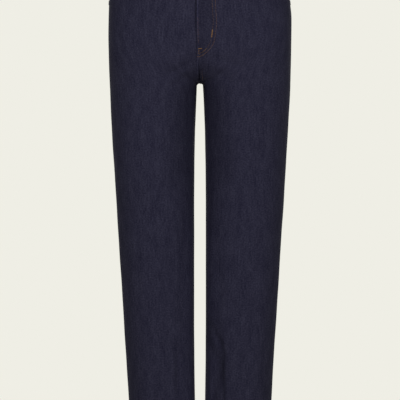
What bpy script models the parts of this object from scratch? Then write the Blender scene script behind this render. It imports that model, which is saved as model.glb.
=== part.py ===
"""Straight-leg jeans, hollow and filled out as if worn by nobody.

The garment is one surface of section rings. A ring starts at the centre front (on a leg, at the
inseam), runs round the outside and ends at the centre back (on a leg, at the inseam again).
"drop" says how far down a ring lies: -0.2 at the waistband's top, 0 at the waistband seam, 1 at the
crotch and 2 at the hem. "round" says how far along its ring a point lies, from 0 to 1. Each piece
is a patch of that surface with a thickness, moved out or in by the plies that it lies on.

Metres, +Z up, front towards -Y. The origin is the middle of the waistband, where a wearer holds it.
"""
import math
from collections import namedtuple
from functools import lru_cache

import bmesh
import bpy
import numpy as np
from mathutils import Matrix, Vector

# ---- cloth and seams ----
DENIM = 0.0014              # wall of one ply
SEAM_GAP = 0.0003           # between the edges of two pieces
PLY_GAP = 0.0005            # between two plies that lie on each other
BAG_CLOTH = 0.0010          # pocket bags and zip tape
SEAM_DROP = 0.0008          # half a seam gap, as a drop
PANEL_TOP = 2 * SEAM_DROP   # drop of the panels' edge under the waistband
SHARP_EDGE = math.radians(40)

# ---- heights ----
WAIST_SEAM = -0.020         # waistband seam at the side
BAND_HEIGHT = 0.040
BAND_DROP = -0.2            # drop of the waistband's top
CROTCH = -0.230
CROTCH_ROW_AT_SIDE = -0.205
HEM = -0.950
FRONT_BEND = -0.125         # where the front rise starts to curve under
BACK_BEND = -0.100          # where the back rise starts to curve under
FRONT_DIP = 0.007           # how much lower the waist is at the centre front
BACK_LIFT = 0.009           # how much higher it is at the centre back

# ---- rings ----
HIP_SQUARENESS = 2.4        # 2 is an ellipse, more is squarer
LEG_SQUARENESS = 2.15
SQUARE_FROM = 0.7           # drops between which the squareness changes
SQUARE_TO = 1.2
HALF_STEPS = 120            # points on the front and on the back half of a ring
RISE_STEPS = 60             # points on the straight and on the curved part of the centre seam
DEPTH_SHARE = 0.6           # share of the way to its end at which a half ring's depth is read
DIP_REACH = 0.45            # round over which a ring falls from its end to its side

# ---- how softly the seat turns into the legs ----
EASE_SPREAD = 0.022
EASE_FULL = 0.16            # round from which the full spread holds
EASE_STEP = 0.001

Section = namedtuple("Section", "height half_width front back")
SECTIONS = (
    Section(0.020, 0.1625, 0.1030, 0.1120),
    Section(-0.020, 0.1735, 0.1100, 0.1190),
    Section(-0.062, 0.1815, 0.1165, 0.1265),
    Section(-0.102, 0.1823, 0.1190, 0.1300),
    Section(-0.142, 0.1823, 0.1180, 0.1295),
    Section(-0.182, 0.1819, 0.1145, 0.1250),
    Section(-0.230, 0.1802, 0.1090, 0.1165),
    Section(-0.262, 0.1789, 0.1050, 0.1110),
    Section(-0.322, 0.1758, 0.0980, 0.1030),
    Section(-0.382, 0.1721, 0.0920, 0.0965),
    Section(-0.462, 0.1672, 0.0855, 0.0900),
    Section(-0.582, 0.1596, 0.0780, 0.0820),
    Section(-0.722, 0.1506, 0.0725, 0.0760),
    Section(-0.862, 0.1422, 0.0685, 0.0710),
    Section(-0.950, 0.1375, 0.0665, 0.0680),
)

LegGap = namedtuple("LegGap", "height half_gap")
LEG_GAPS = (
    LegGap(-0.2300, 0.0000),
    LegGap(-0.2303, 0.0042),
    LegGap(-0.2312, 0.0057),
    LegGap(-0.2335, 0.0063),
    LegGap(-0.2420, 0.0067),
    LegGap(-0.2620, 0.0077),
    LegGap(-0.3220, 0.0102),
    LegGap(-0.3820, 0.0114),
    LegGap(-0.4620, 0.0120),
    LegGap(-0.7220, 0.0120),
    LegGap(-0.8000, 0.0114),
    LegGap(-0.8620, 0.0104),
    LegGap(-0.9500, 0.0088),
)

# ---- columns and rows that every piece shares ----
SIDE_SEAM = 0.475
FRONT_COLUMNS = (0.0, 0.030, 0.068, 0.115, 0.165, 0.215, 0.260, 0.269, 0.283, 0.310, 0.350, 0.395,
                 0.440, SIDE_SEAM)
BACK_COLUMNS = (SIDE_SEAM, 0.520, 0.565, 0.610, 0.655, 0.700, 0.750, 0.800, 0.850, 0.900, 0.950, 1.0)
COLUMNS = FRONT_COLUMNS + BACK_COLUMNS[1:]
RISE_ROWS = (0.0, 0.06, 0.12, 0.19, 0.27, 0.36, 0.45, 0.54, 0.62, 0.70, 0.78, 0.86, 0.93, 1.0)
LEG_ROWS = (1.0017, 1.006, 1.018, 1.045, 1.09, 1.16, 1.25, 1.36, 1.48, 1.60, 1.72, 1.84, 1.93, 2.0)

# ---- front pockets ----
SCOOP_START = 0.260         # round of the pocket mouth's end at the waistband
SCOOP_DROP = 0.25           # drop of its end at the side seam
SCOOP_SQUARENESS = 2.2
FACING_COLUMNS = (0.215, 0.260)         # columns of the facing before the mouth
FACING_ROWS = 4             # rows of the front panel that the facing reaches below the mouth
BAG_COLUMNS = (0.165, 0.215, 0.260)     # columns of the bag before the mouth
BAG_ROWS = 9                # rows of the front panel that the bag reaches down
BAG_BOTTOM = 0.82           # level of its bottom edge
BAG_CORNER = 0.07           # how much higher its inner corner is

# ---- fly ----
FlyEdge = namedtuple("FlyEdge", "height left_of_middle")
FLY_EDGE = (
    FlyEdge(-0.226, 0.0),
    FlyEdge(-0.196, 0.0034),
    FlyEdge(-0.184, 0.0062),
    FlyEdge(-0.160, 0.0068),
    FlyEdge(0.000, 0.0074),
)
FLY_WIDTH = 0.034           # from the middle to the outer J-stitch
FLY_BOTTOM = -0.178
FLY_BEND = -0.135
ZIP_BOTTOM = -0.166
ZIP_HALF_WIDTH = 0.0120
ZIP_MIDDLE = 0.0040
SHIELD_SEWN = -0.030        # the shield's sewn and free sides, from the middle
SHIELD_FREE = 0.022
SHIELD_CLEAR = 0.0020
SHIELD_BOTTOM = -0.170
SLIDER_BELOW_SEAM = 0.006
SLIDER_BODY = 0.0090
SLIDER_SHOULDER = 0.001     # height over which the body narrows to the tab
SLIDER_LENGTH = 0.024
SLIDER_WIDTH = 0.0080
TAB_WIDTH = 0.0050
SLIDER_THICKNESS = 0.0022
FACING_FACE = -DENIM - PLY_GAP          # outer faces of the fly's plies, from the surface
SLIDER_FACE = FACING_FACE - DENIM - PLY_GAP
TAPE_FACE = SLIDER_FACE - SLIDER_THICKNESS - PLY_GAP
SHIELD_FACE = TAPE_FACE - 2 * BAG_CLOTH - PLY_GAP
ROW_CLEAR = 0.01            # least drop between a row of the fly and its lower edges
FLY_POINT = 0.97            # share of the fly's curve before its lower end is cut straight
FACING_LAP = 0.0010         # the facing starts this far behind the folded edge

# ---- waistband, loops and button ----
BAND_OUT = 0.0010           # outer face of the waistband past the surface
BAND_IN = 0.0020            # its inner face
BAND_LAP = 0.0105           # left end, this far past the middle
BAND_UNDERLAP = 0.0240      # right end, this far under the left end
BAND_RAMP = 0.0120          # the right end dips inwards over the stretch between these
BAND_RAMP_CLEAR = 0.0030
HOLE_START = -0.0010        # buttonhole, from the middle
HOLE_END = 0.0130
HOLE_BOTTOM = -0.0875
HOLE_TOP = -0.1125
BAND_ROWS = (-0.001, HOLE_BOTTOM, HOLE_TOP, BAND_DROP)
LOOP_WIDTH = 0.0110
LOOP_THICKNESS = 0.0016
BUTTON_RADIUS = 0.0085
BUTTON_THICKNESS = 0.0030
BUTTON_STEPS = 20
SHANK_RADIUS = 0.0020

Turning = namedtuple("Turning", "radius height")
BUTTON_TURNINGS = (         # the head's profile, as shares of its radius and thickness
    Turning(0.0, 1.0),
    Turning(0.62, 1.0),
    Turning(0.80, 0.80),
    Turning(0.94, 0.95),
    Turning(1.0, 0.60),
    Turning(0.92, 0.0),
)

BeltLoop = namedtuple("BeltLoop", "name round side")
BELT_LOOPS = (
    BeltLoop("belt_loop_front_left", 0.135, 1),
    BeltLoop("belt_loop_front_right", 0.135, -1),
    BeltLoop("belt_loop_back_left", 0.845, 1),
    BeltLoop("belt_loop_back_right", 0.845, -1),
    BeltLoop("belt_loop_centre_back", 1.0, 1),
)
LoopStation = namedtuple("LoopStation", "drop out")
LOOP_STATIONS = (
    LoopStation(-0.199, 0.0014),
    LoopStation(-0.188, 0.0018),
    LoopStation(-0.168, 0.0058),
    LoopStation(-0.140, 0.0082),
    LoopStation(-0.100, 0.0092),
    LoopStation(-0.060, 0.0084),
    LoopStation(-0.025, 0.0056),
    LoopStation(-0.004, 0.0020),
    LoopStation(0.020, 0.0010),
    LoopStation(0.060, 0.0005),
)

# ---- back ----
YOKE_AT_SIDE = 0.19         # drop of the yoke seam
YOKE_AT_MIDDLE = 0.25
POCKET_MOUTH = (0.628, 0.928)       # rounds of a back pocket's sides at its mouth
POCKET_FOOT = (0.652, 0.904)        # and at its bottom corners, between the same shared columns
POCKET_BELOW_YOKE = 0.015           # from the yoke seam down to the mouth
POCKET_SIDE = 0.112                 # height of its sides
POCKET_POINT = 0.016                # how much lower than its corners its point is
POCKET_ROWS = 13
POCKET_LIFT = 0.0010                # its turned-in edges lie between it and the back

# ---- hem ----
HEM_TURN = 1.972            # drop of the upper edge of the turned-up cloth

LEFT = 1                    # the wearer's left, towards +X
RIGHT = -1


# ---------------------------------------------------------------- the surface


def between(table, height, column):
    """A column's value at a height, on a smooth curve through the rows of a table sorted downwards."""
    heights = [row.height for row in table]
    values = [getattr(row, column) for row in table]
    place = min(max(sum(1 for h in heights if h > height), 1), len(table) - 1)
    low, high = place - 1, place
    span = heights[high] - heights[low]
    t = min(max((height - heights[low]) / span, 0.0), 1.0)

    def slope(i):
        before, after = max(i - 1, 0), min(i + 1, len(table) - 1)
        return (values[after] - values[before]) / (heights[after] - heights[before]) * span

    return (values[low] * (2 * t**3 - 3 * t**2 + 1) + slope(low) * (t**3 - 2 * t**2 + t)
            + values[high] * (3 * t**2 - 2 * t**3) + slope(high) * (t**3 - t**2))


def straight_between(table, height, column):
    """A column's value at a height, on straight lines through the rows of a table."""
    rows = sorted(table)
    return float(np.interp(height, [r.height for r in rows], [getattr(r, column) for r in rows]))


def openness(height, bend):
    """0 where the body is one tube, 1 at the crotch where the legs part."""
    return min(max((bend - height) / (bend - CROTCH), 0.0), 1.0)


@lru_cache(maxsize=None)
def rise_curve(top, bend, depth_column):
    """Drops and heights of the centre seam, at even steps along its U from waistband to crotch."""
    heights = [top + (bend - top) * i / RISE_STEPS for i in range(RISE_STEPS)]
    heights += [bend + (CROTCH - bend) * math.sin(math.pi / 2 * i / RISE_STEPS) ** (2 / HIP_SQUARENESS)
                for i in range(RISE_STEPS + 1)]
    path = []
    for height in heights:
        k = openness(height, bend)
        depth = between(SECTIONS, height, depth_column)
        path.append((depth * (1 - k**HIP_SQUARENESS) ** (1 / HIP_SQUARENESS), height))
    lengths = [0.0]
    for a, b in zip(path, path[1:]):
        lengths.append(lengths[-1] + math.dist(a, b))
    return tuple(length / lengths[-1] for length in lengths), tuple(heights)


def seam_heights(drop):
    """Heights of a ring at the side, at the centre front or inseam, and at the centre back or inseam."""
    if drop < 0:
        side = WAIST_SEAM + BAND_HEIGHT * drop / BAND_DROP
        return side, side - FRONT_DIP, side + BACK_LIFT
    if drop <= 1:
        side = WAIST_SEAM + (CROTCH_ROW_AT_SIDE - WAIST_SEAM) * drop
        front = np.interp(drop, *rise_curve(WAIST_SEAM - FRONT_DIP, FRONT_BEND, "front"))
        back = np.interp(drop, *rise_curve(WAIST_SEAM + BACK_LIFT, BACK_BEND, "back"))
        return side, float(front), float(back)
    inseam = CROTCH + (HEM - CROTCH) * (drop - 1)
    return CROTCH_ROW_AT_SIDE + (HEM - CROTCH_ROW_AT_SIDE) * (drop - 1), inseam, inseam


@lru_cache(maxsize=None)
def ring(drop):
    """One section ring: rounds, points and length."""
    side, front_end, back_end = seam_heights(drop)
    half_width = between(SECTIONS, side, "half_width")
    squareness = float(np.interp(drop, (SQUARE_FROM, SQUARE_TO), (HIP_SQUARENESS, LEG_SQUARENESS)))
    outline = []
    for column, end, bend, way in (("front", front_end, FRONT_BEND, -1), ("back", back_end, BACK_BEND, 1)):
        depth = between(SECTIONS, side + DEPTH_SHARE * (end - side), column)
        k = openness(end, bend)
        inner = half_width * (k - 1) / (k + 1)
        if drop > 1:
            inner = straight_between(LEG_GAPS, end, "half_gap")
        centre = (half_width + inner) / 2
        reach = (half_width - inner) / 2
        start = math.acos((min(centre / reach, 1.0)) ** (squareness / 2))
        half = []
        for i in range(HALF_STEPS + 1):
            angle = start + (math.pi - start) * i / HALF_STEPS
            across = -math.copysign(abs(math.cos(angle)) ** (2 / squareness), math.cos(angle))
            half.append((centre + reach * across, way * depth * abs(math.sin(angle)) ** (2 / squareness)))
        outline += half if way < 0 else half[-2::-1]
    plan = np.array(outline)
    steps = np.hypot(*np.diff(plan, axis=0).T)
    length = float(steps.sum())
    rounds = np.concatenate(([0.0], np.cumsum(steps))) / length

    def fall(r):
        return 0.5 * (1 + np.cos(np.pi * np.minimum(r / DIP_REACH, 1.0)))

    heights = side + (front_end - side) * fall(rounds) + (back_end - side) * fall(1 - rounds)
    return rounds, np.column_stack((plan, heights)), length


DROPS = np.array([BAND_DROP, BAND_DROP / 2] + [i / 60 for i in range(60)]
                 + [1 + (i / 80) ** 1.7 for i in range(81)])


def eased(points, spread):
    """A path with its bends rounded off by a running mean; its ends stay where they are."""
    lengths = np.concatenate(([0.0], np.cumsum(np.linalg.norm(np.diff(points, axis=0), axis=1))))
    even = np.linspace(0.0, lengths[-1], math.ceil(lengths[-1] / EASE_STEP) + 1)
    path = np.column_stack([np.interp(even, lengths, points[:, axis]) for axis in range(3)])
    reach = int(3 * spread / EASE_STEP)
    before = 2 * path[0] - path[reach:0:-1]
    after = 2 * path[-1] - path[-2:-reach - 2:-1]
    longer = np.vstack((before, path, after))
    kernel = np.exp(-0.5 * (np.arange(-reach, reach + 1) * EASE_STEP / spread) ** 2)
    kernel /= kernel.sum()
    soft = np.column_stack([np.convolve(longer[:, axis], kernel, mode="valid") for axis in range(3)])
    return np.column_stack([np.interp(lengths, even, soft[:, axis]) for axis in range(3)])


@lru_cache(maxsize=None)
def column_path(round_):
    """Points down one column. Away from the centre seams the cloth turns softly into the legs."""
    points = []
    for drop in DROPS:
        rounds, outline, _ = ring(drop)
        points.append([np.interp(round_, rounds, outline[:, axis]) for axis in range(3)])
    share = min(min(round_, 1 - round_) / EASE_FULL, 1.0)
    if share * EASE_SPREAD > EASE_STEP:
        return eased(np.array(points), share * EASE_SPREAD)
    return np.array(points)


def place(drop, column):
    """A point of the surface on a shared column, on the wearer's left."""
    path = column_path(column)
    return np.array([np.interp(drop, DROPS, path[:, axis]) for axis in range(3)])


@lru_cache(maxsize=1)
def normal_grid():
    """Outward directions at the shared columns, smooth across the centre seams and the inseams."""
    points = np.array([[place(drop, r) for r in COLUMNS] for drop in DROPS])
    cell = np.cross(points[1:, 1:] - points[:-1, :-1], points[:-1, 1:] - points[1:, :-1])
    total = np.zeros_like(points)
    for rows in (slice(None, -1), slice(1, None)):
        for columns in (slice(None, -1), slice(1, None)):
            total[rows, columns] += cell
    mirrored = np.array((0.0, 1.0, 1.0))
    for i, drop in enumerate(DROPS):
        if drop >= 1:
            total[i, 0] += total[i, -1]
            total[i, -1] = total[i, 0]
        if drop <= 1:
            total[i, 0] *= mirrored
            total[i, -1] *= mirrored
    return total / np.linalg.norm(total, axis=2, keepdims=True)


def outward(drop, round_):
    """The outward direction at a point of the surface."""
    if round_ < 0 or round_ > 1:
        inside = -round_ if round_ < 0 else 2 - round_
        x, y, z = outward(drop, inside)
        return np.array((-x, y, z))
    grid = normal_grid()
    row = np.interp(drop, DROPS, range(len(DROPS)))
    column = np.interp(round_, COLUMNS, range(len(COLUMNS)))
    i, j = min(int(row), len(DROPS) - 2), min(int(column), len(COLUMNS) - 2)
    a, b = row - i, column - j
    mixed = ((grid[i, j] * (1 - b) + grid[i, j + 1] * b) * (1 - a)
             + (grid[i + 1, j] * (1 - b) + grid[i + 1, j + 1] * b) * a)
    return mixed / np.linalg.norm(mixed)


def faceted_place(drop, round_):
    """The point on the straight facet between the two shared columns beside it."""
    if round_ < 0 or round_ > 1:
        inside = -round_ if round_ < 0 else 2 - round_
        x, y, z = faceted_place(drop, inside)
        return np.array((-x, y, z))
    high = next((i for i, column in enumerate(COLUMNS) if column >= round_), len(COLUMNS) - 1)
    low = max(high - 1, 0)
    high = max(high, 1)
    share = (round_ - COLUMNS[low]) / (COLUMNS[high] - COLUMNS[low])
    return place(drop, COLUMNS[low]) * (1 - share) + place(drop, COLUMNS[high]) * share


def on_surface(drop, round_, out, side):
    """A point moved out from the surface, on the wearer's left or right."""
    x, y, z = faceted_place(drop, round_) + outward(drop, round_) * out
    return Vector((side * x, y, z))


def round_of(drop, distance):
    """The round of a point that lies a distance along its ring from the centre front."""
    return distance / ring(drop)[2]


def front_drop(height):
    """The drop at which the centre front seam passes a height."""
    drops, heights = rise_curve(WAIST_SEAM - FRONT_DIP, FRONT_BEND, "front")
    return float(np.interp(-height, [-h for h in heights], drops))


# ---------------------------------------------------------------- making pieces


def material(name, colour, roughness, metallic=0.0):
    """A plain finish."""
    finish = bpy.data.materials.new(name)
    finish.use_nodes = True
    shader = finish.node_tree.nodes["Principled BSDF"]
    shader.inputs["Base Color"].default_value = (*colour, 1.0)
    shader.inputs["Roughness"].default_value = roughness
    shader.inputs["Metallic"].default_value = metallic
    return finish


def piece(name, builder, finish):
    """A named object from a closed bmesh."""
    bmesh.ops.remove_doubles(builder, verts=builder.verts, dist=0.000001)
    bmesh.ops.recalc_face_normals(builder, faces=builder.faces)
    mesh = bpy.data.meshes.new(name)
    builder.to_mesh(mesh)
    builder.free()
    mesh.materials.append(finish)
    mesh.shade_smooth()
    mesh.set_sharp_from_angle(angle=SHARP_EDGE)
    made = bpy.data.objects.new(name, mesh)
    bpy.context.collection.objects.link(made)
    return made


def wall(name, grid, finish, side=LEFT, out=0.0, thickness=DENIM, closed=False, hole=None, edge=None):
    """A cloth wall over a grid of (drop, round) places.

    out is how far its outer face lies from the surface, as a number or a function of the place.
    closed joins the last column to the first, and hole is a cell that is left out. edge gives, for a
    drop, how far from the middle plane the piece stays.
    """
    builder = bmesh.new()
    corner = {}
    for layer, depth in (("outer", 0.0), ("inner", thickness)):
        for i, row in enumerate(grid):
            for j, (drop, round_) in enumerate(row):
                moved = out(drop, round_) if callable(out) else out
                point = on_surface(drop, round_, moved - depth, side)
                if edge:
                    point.x = side * max(side * point.x, edge(drop))
                corner[layer, i, j] = builder.verts.new(point)
    width = len(grid[0])
    columns = width if closed else width - 1
    cells = {(i, j) for i in range(len(grid) - 1) for j in range(columns)} - {hole}
    for i, j in sorted(cells):
        around = ((i, j), (i, (j + 1) % width), (i + 1, (j + 1) % width), (i + 1, j))
        for triangle in ((0, 1, 2), (0, 2, 3)):
            builder.faces.new([corner["outer", *around[k]] for k in triangle])
            builder.faces.new([corner["inner", *around[k]] for k in reversed(triangle)])
        for k, (a, b) in enumerate(((i - 1, j), (i, j + 1), (i + 1, j), (i, j - 1))):
            if (a, b % width if closed else b) not in cells:
                start, end = around[k], around[(k + 1) % 4]
                builder.faces.new([corner["outer", *end], corner["outer", *start],
                                   corner["inner", *start], corner["inner", *end]])
    return piece(name, builder, finish)


# ---------------------------------------------------------------- legs and seat


def half_gap(drop):
    """Half a seam gap, as a round."""
    return round_of(drop, SEAM_GAP / 2)


def past_middle(drop):
    """How far the fly's folded edge and the seam below it lie past the middle, on the right side."""
    return straight_between(FLY_EDGE, seam_heights(drop)[1], "left_of_middle") if drop < 1 else 0.0


def scoop(round_):
    """Drop of the pocket mouth, which curves from the waistband down to the side seam."""
    along = min(max((round_ - SCOOP_START) / (SIDE_SEAM - SCOOP_START), 0.0), 1.0)
    return SCOOP_DROP * (1 - (1 - along) ** SCOOP_SQUARENESS) ** (1 / SCOOP_SQUARENESS)


def yoke_seam(round_):
    """Drop of the seam between yoke and back panel."""
    along = (round_ - SIDE_SEAM) / (1 - SIDE_SEAM)
    return YOKE_AT_SIDE + (YOKE_AT_MIDDLE - YOKE_AT_SIDE) * along


def front_top(column):
    """Drop of a front panel's upper edge."""
    return PANEL_TOP + scoop(column)


def back_top(column):
    """Drop of a back panel's upper edge."""
    return yoke_seam(column) + SEAM_DROP


def panel_drop(level, top):
    """Drop of a panel's row: its rise rows are spread between its upper edge and the crotch."""
    return level if level > 1 else top + (1 - top) * level


def front_panel(name, side, denim):
    """A front: from the waistband seam and the pocket mouth to the hem."""
    def edge(drop):
        return SEAM_GAP / 2 - side * past_middle(drop)

    grid = []
    for level in RISE_ROWS + LEG_ROWS:
        row = []
        for column in FRONT_COLUMNS:
            drop = panel_drop(level, front_top(column))
            if column == 0.0:
                column = half_gap(drop) - side * round_of(drop, past_middle(drop))
            row.append((drop, min(column, SIDE_SEAM - half_gap(drop))))
        grid.append(row)
    return wall(name, grid, denim, side, edge=edge)


def back_panel(name, side, denim):
    """A back: from the yoke seam to the hem."""
    grid = []
    for level in RISE_ROWS + LEG_ROWS:
        row = []
        for column in BACK_COLUMNS:
            drop = panel_drop(level, back_top(column))
            row.append((drop, min(max(column, SIDE_SEAM + half_gap(drop)), 1 - half_gap(drop))))
        grid.append(row)
    return wall(name, grid, denim, side, edge=lambda _drop: SEAM_GAP / 2)


def yoke(name, side, denim):
    """A yoke: between the waistband seam and the back panel."""
    grid = []
    for share in (0.0, 1 / 3, 2 / 3, 1.0):
        row = []
        for column in BACK_COLUMNS:
            drop = PANEL_TOP + (yoke_seam(column) - SEAM_DROP - PANEL_TOP) * share
            row.append((drop, min(max(column, SIDE_SEAM + half_gap(drop)), 1 - half_gap(drop))))
        grid.append(row)
    return wall(name, grid, denim, side, edge=lambda _drop: SEAM_GAP / 2)


def hem_turn_up(name, side, denim):
    """The bottom of a leg, folded up inside it."""
    grid = [[(drop, column) for column in COLUMNS[:-1]] for drop in (HEM_TURN, (HEM_TURN + 2) / 2, 2.0)]
    return wall(name, grid, denim, side, out=-DENIM - PLY_GAP, closed=True)


# ---------------------------------------------------------------- pockets


def behind_the_mouth(columns, rows, bottom=None):
    """Places behind a front panel: over the open mouth, then along the panel's own rows."""
    columns = columns + tuple(c for c in FRONT_COLUMNS if c > columns[-1])
    grid = []
    for share in (0.0, 0.5):
        grid.append([PANEL_TOP + (front_top(column) - PANEL_TOP) * share for column in columns])
    for level in RISE_ROWS[:rows + 1]:
        grid.append([panel_drop(level, front_top(column)) for column in columns])
    if bottom:
        grid.append([panel_drop(bottom(column), front_top(column)) for column in columns])
    return [[(drop, min(column, SIDE_SEAM - half_gap(drop))) for drop, column in zip(row, columns)]
            for row in grid]


def pocket_facing(name, side, denim):
    """The denim behind a front pocket's mouth."""
    grid = behind_the_mouth(FACING_COLUMNS, FACING_ROWS)
    return wall(name, grid, denim, side, out=-DENIM - PLY_GAP)


def pocket_bag(name, side, twill):
    """The pouch of a front pocket, pressed flat behind the front panel."""
    def bottom(column):
        return BAG_BOTTOM - (BAG_CORNER if column == BAG_COLUMNS[0] else 0.0)

    grid = behind_the_mouth(BAG_COLUMNS, BAG_ROWS, bottom)
    return wall(name, grid, twill, side, out=-2 * (DENIM + PLY_GAP), thickness=2 * BAG_CLOTH)


def drop_at(height, round_):
    """The drop at which a column passes a height."""
    low, high = 0.0, 2.0
    for _ in range(30):
        middle = (low + high) / 2
        if faceted_place(middle, round_)[2] > height:
            low = middle
        else:
            high = middle
    return low


def back_pocket(name, side, denim):
    """A plain patch, narrower at its bottom, which runs to a point in the middle."""
    ends = [faceted_place(yoke_seam(round_), round_)[2] - POCKET_BELOW_YOKE for round_ in POCKET_MOUTH]
    inner = [column for column in BACK_COLUMNS if POCKET_FOOT[0] < column < POCKET_FOOT[1]]
    grid = []
    for i in range(POCKET_ROWS):
        down = i / (POCKET_ROWS - 1)
        sides = [mouth + (foot - mouth) * down for mouth, foot in zip(POCKET_MOUTH, POCKET_FOOT)]
        row = []
        for round_ in (sides[0], *inner, sides[1]):
            across = (round_ - sides[0]) / (sides[1] - sides[0])
            length = POCKET_SIDE + POCKET_POINT * (1 - abs(2 * across - 1))
            row.append((drop_at(ends[0] + (ends[1] - ends[0]) * across - length * down, round_), round_))
        grid.append(row)
    return wall(name, grid, denim, side, out=POCKET_LIFT + DENIM)


# ---------------------------------------------------------------- fly


def fly_drops(bottom):
    """Drops of the front panel's rows and of the fly's lower edges, down to a height."""
    rows = {panel_drop(level, PANEL_TOP) for level in RISE_ROWS}
    edges = {front_drop(height) for height in (ZIP_BOTTOM, SHIELD_BOTTOM, FLY_BOTTOM)}
    clear = {row for row in rows if all(abs(row - edge) > ROW_CLEAR for edge in edges)}
    return [drop for drop in sorted(clear | edges) if drop <= front_drop(bottom)]


def strip(drops, distances):
    """Places of a strip down the centre front. distances gives its columns at a height."""
    grid = []
    for drop in drops:
        height = seam_heights(drop)[1]
        grid.append([(drop, round_of(drop, distance)) for distance in distances(height)])
    return grid


def fly_facing(name, denim):
    """J-shaped facing behind the left front."""
    def distances(height):
        start = FACING_LAP - straight_between(FLY_EDGE, height, "left_of_middle")
        sunk = min(max((FLY_BEND - height) / (FLY_BEND - FLY_BOTTOM), 0.0), FLY_POINT)
        end = start + (FLY_WIDTH - start) * math.sqrt(1 - sunk**2)
        return [start, 0.0, end / 2, end]

    return wall(name, strip(fly_drops(FLY_BOTTOM), distances), denim, out=FACING_FACE)


def zip_tape(name, tape):
    """Zip tape with its chain; its left side is sewn to the fly facing."""
    stops = (ZIP_MIDDLE - ZIP_HALF_WIDTH, 0.0, 2 * ZIP_MIDDLE, ZIP_MIDDLE + ZIP_HALF_WIDTH)
    faces = (TAPE_FACE, TAPE_FACE, TAPE_FACE, SLIDER_FACE)

    def out(drop, round_):
        return np.interp(round_ * ring(drop)[2], stops, faces)

    return wall(name, strip(fly_drops(ZIP_BOTTOM), lambda _height: stops), tape, out=out,
                thickness=2 * BAG_CLOTH)


def fly_shield(name, denim):
    """Shield behind the zip; its right side is sewn to the right front."""
    stops = (SHIELD_SEWN, ZIP_MIDDLE - ZIP_HALF_WIDTH - SHIELD_CLEAR, 0.0, SHIELD_FREE)
    faces = (FACING_FACE - PLY_GAP / 2, SHIELD_FACE, SHIELD_FACE, SHIELD_FACE)

    def out(drop, round_):
        return np.interp(round_ * ring(drop)[2], stops, faces)

    return wall(name, strip(fly_drops(SHIELD_BOTTOM), lambda _height: stops), denim, out=out)


def zip_slider(name, metal):
    """Closed slider with its tab hanging down, in front of the chain."""
    top = WAIST_SEAM - FRONT_DIP - SLIDER_BELOW_SEAM

    shoulder = top - SLIDER_BODY

    def distances(height):
        half = (SLIDER_WIDTH if height > shoulder - SLIDER_SHOULDER / 2 else TAB_WIDTH) / 2
        return [ZIP_MIDDLE - half, ZIP_MIDDLE, ZIP_MIDDLE + half]

    heights = (top, shoulder, shoulder - SLIDER_SHOULDER, top - SLIDER_LENGTH)
    return wall(name, strip([front_drop(height) for height in heights], distances), metal,
                out=SLIDER_FACE, thickness=SLIDER_THICKNESS)


# ---------------------------------------------------------------- waist


def waistband(name, denim):
    """The folded strip round the waist; its right end goes under its left end at the front."""
    lap = round_of(0.0, BAND_LAP)
    ramp_start = 2 - lap - round_of(0.0, BAND_RAMP)
    ramp_end = 2 - lap - round_of(0.0, BAND_RAMP_CLEAR)
    rounds = [-lap, round_of(0.0, HOLE_START), round_of(0.0, HOLE_END)]
    rounds += COLUMNS[1:]
    rounds += [2 - column for column in reversed(COLUMNS[:-1]) if 2 - column < ramp_start]
    rounds += [ramp_start, ramp_end, 2.0, 2 + round_of(0.0, BAND_UNDERLAP)]

    def out(_drop, round_):
        return np.interp(round_, (ramp_start, ramp_end), (BAND_OUT, -BAND_IN - PLY_GAP))

    grid = [[(drop, round_) for round_ in rounds] for drop in BAND_ROWS]
    return wall(name, grid, denim, out=out, thickness=BAND_OUT + BAND_IN, hole=(1, 1))


def belt_loop(name, round_, side, denim):
    """A strap that stands off the waistband, sewn down at both ends."""
    half = round_of(0.0, LOOP_WIDTH / 2)
    stops = sorted({round_ - half, round_ + half} | ({round_} if round_ == 1.0 else set()))
    grid = [[(station.drop, stop) for stop in stops] for station in LOOP_STATIONS]
    stands_off = {station.drop: station.out for station in LOOP_STATIONS}
    return wall(name, grid, denim, side, thickness=LOOP_THICKNESS,
                out=lambda drop, _round: stands_off[drop] + LOOP_THICKNESS)


def button(name, metal):
    """Turned shank button: its head on the left end, its shank through the buttonhole."""
    back = BAND_OUT + PLY_GAP
    profile = tuple((BUTTON_RADIUS * turning.radius, back + BUTTON_THICKNESS * turning.height)
                    for turning in BUTTON_TURNINGS)
    profile += (
        (SHANK_RADIUS, back),
        (SHANK_RADIUS, -BAND_IN),
        (0.0, -BAND_IN),
    )
    builder = bmesh.new()
    ends = [builder.verts.new((radius, 0.0, height)) for radius, height in profile]
    edges = [builder.edges.new(pair) for pair in zip(ends, ends[1:])]
    bmesh.ops.spin(builder, geom=ends + edges, cent=(0, 0, 0), axis=(0, 0, 1), angle=2 * math.pi,
                   steps=BUTTON_STEPS, use_merge=True)
    drop = (HOLE_BOTTOM + HOLE_TOP) / 2
    spot = round_of(drop, (HOLE_START + HOLE_END) / 2)
    turn = Vector(outward(drop, spot)).to_track_quat("Z", "Y").to_matrix().to_4x4()
    bmesh.ops.transform(builder, matrix=Matrix.Translation(on_surface(drop, spot, 0.0, LEFT)) @ turn,
                        verts=builder.verts)
    return piece(name, builder, metal)


# ---------------------------------------------------------------- the garment


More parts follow.
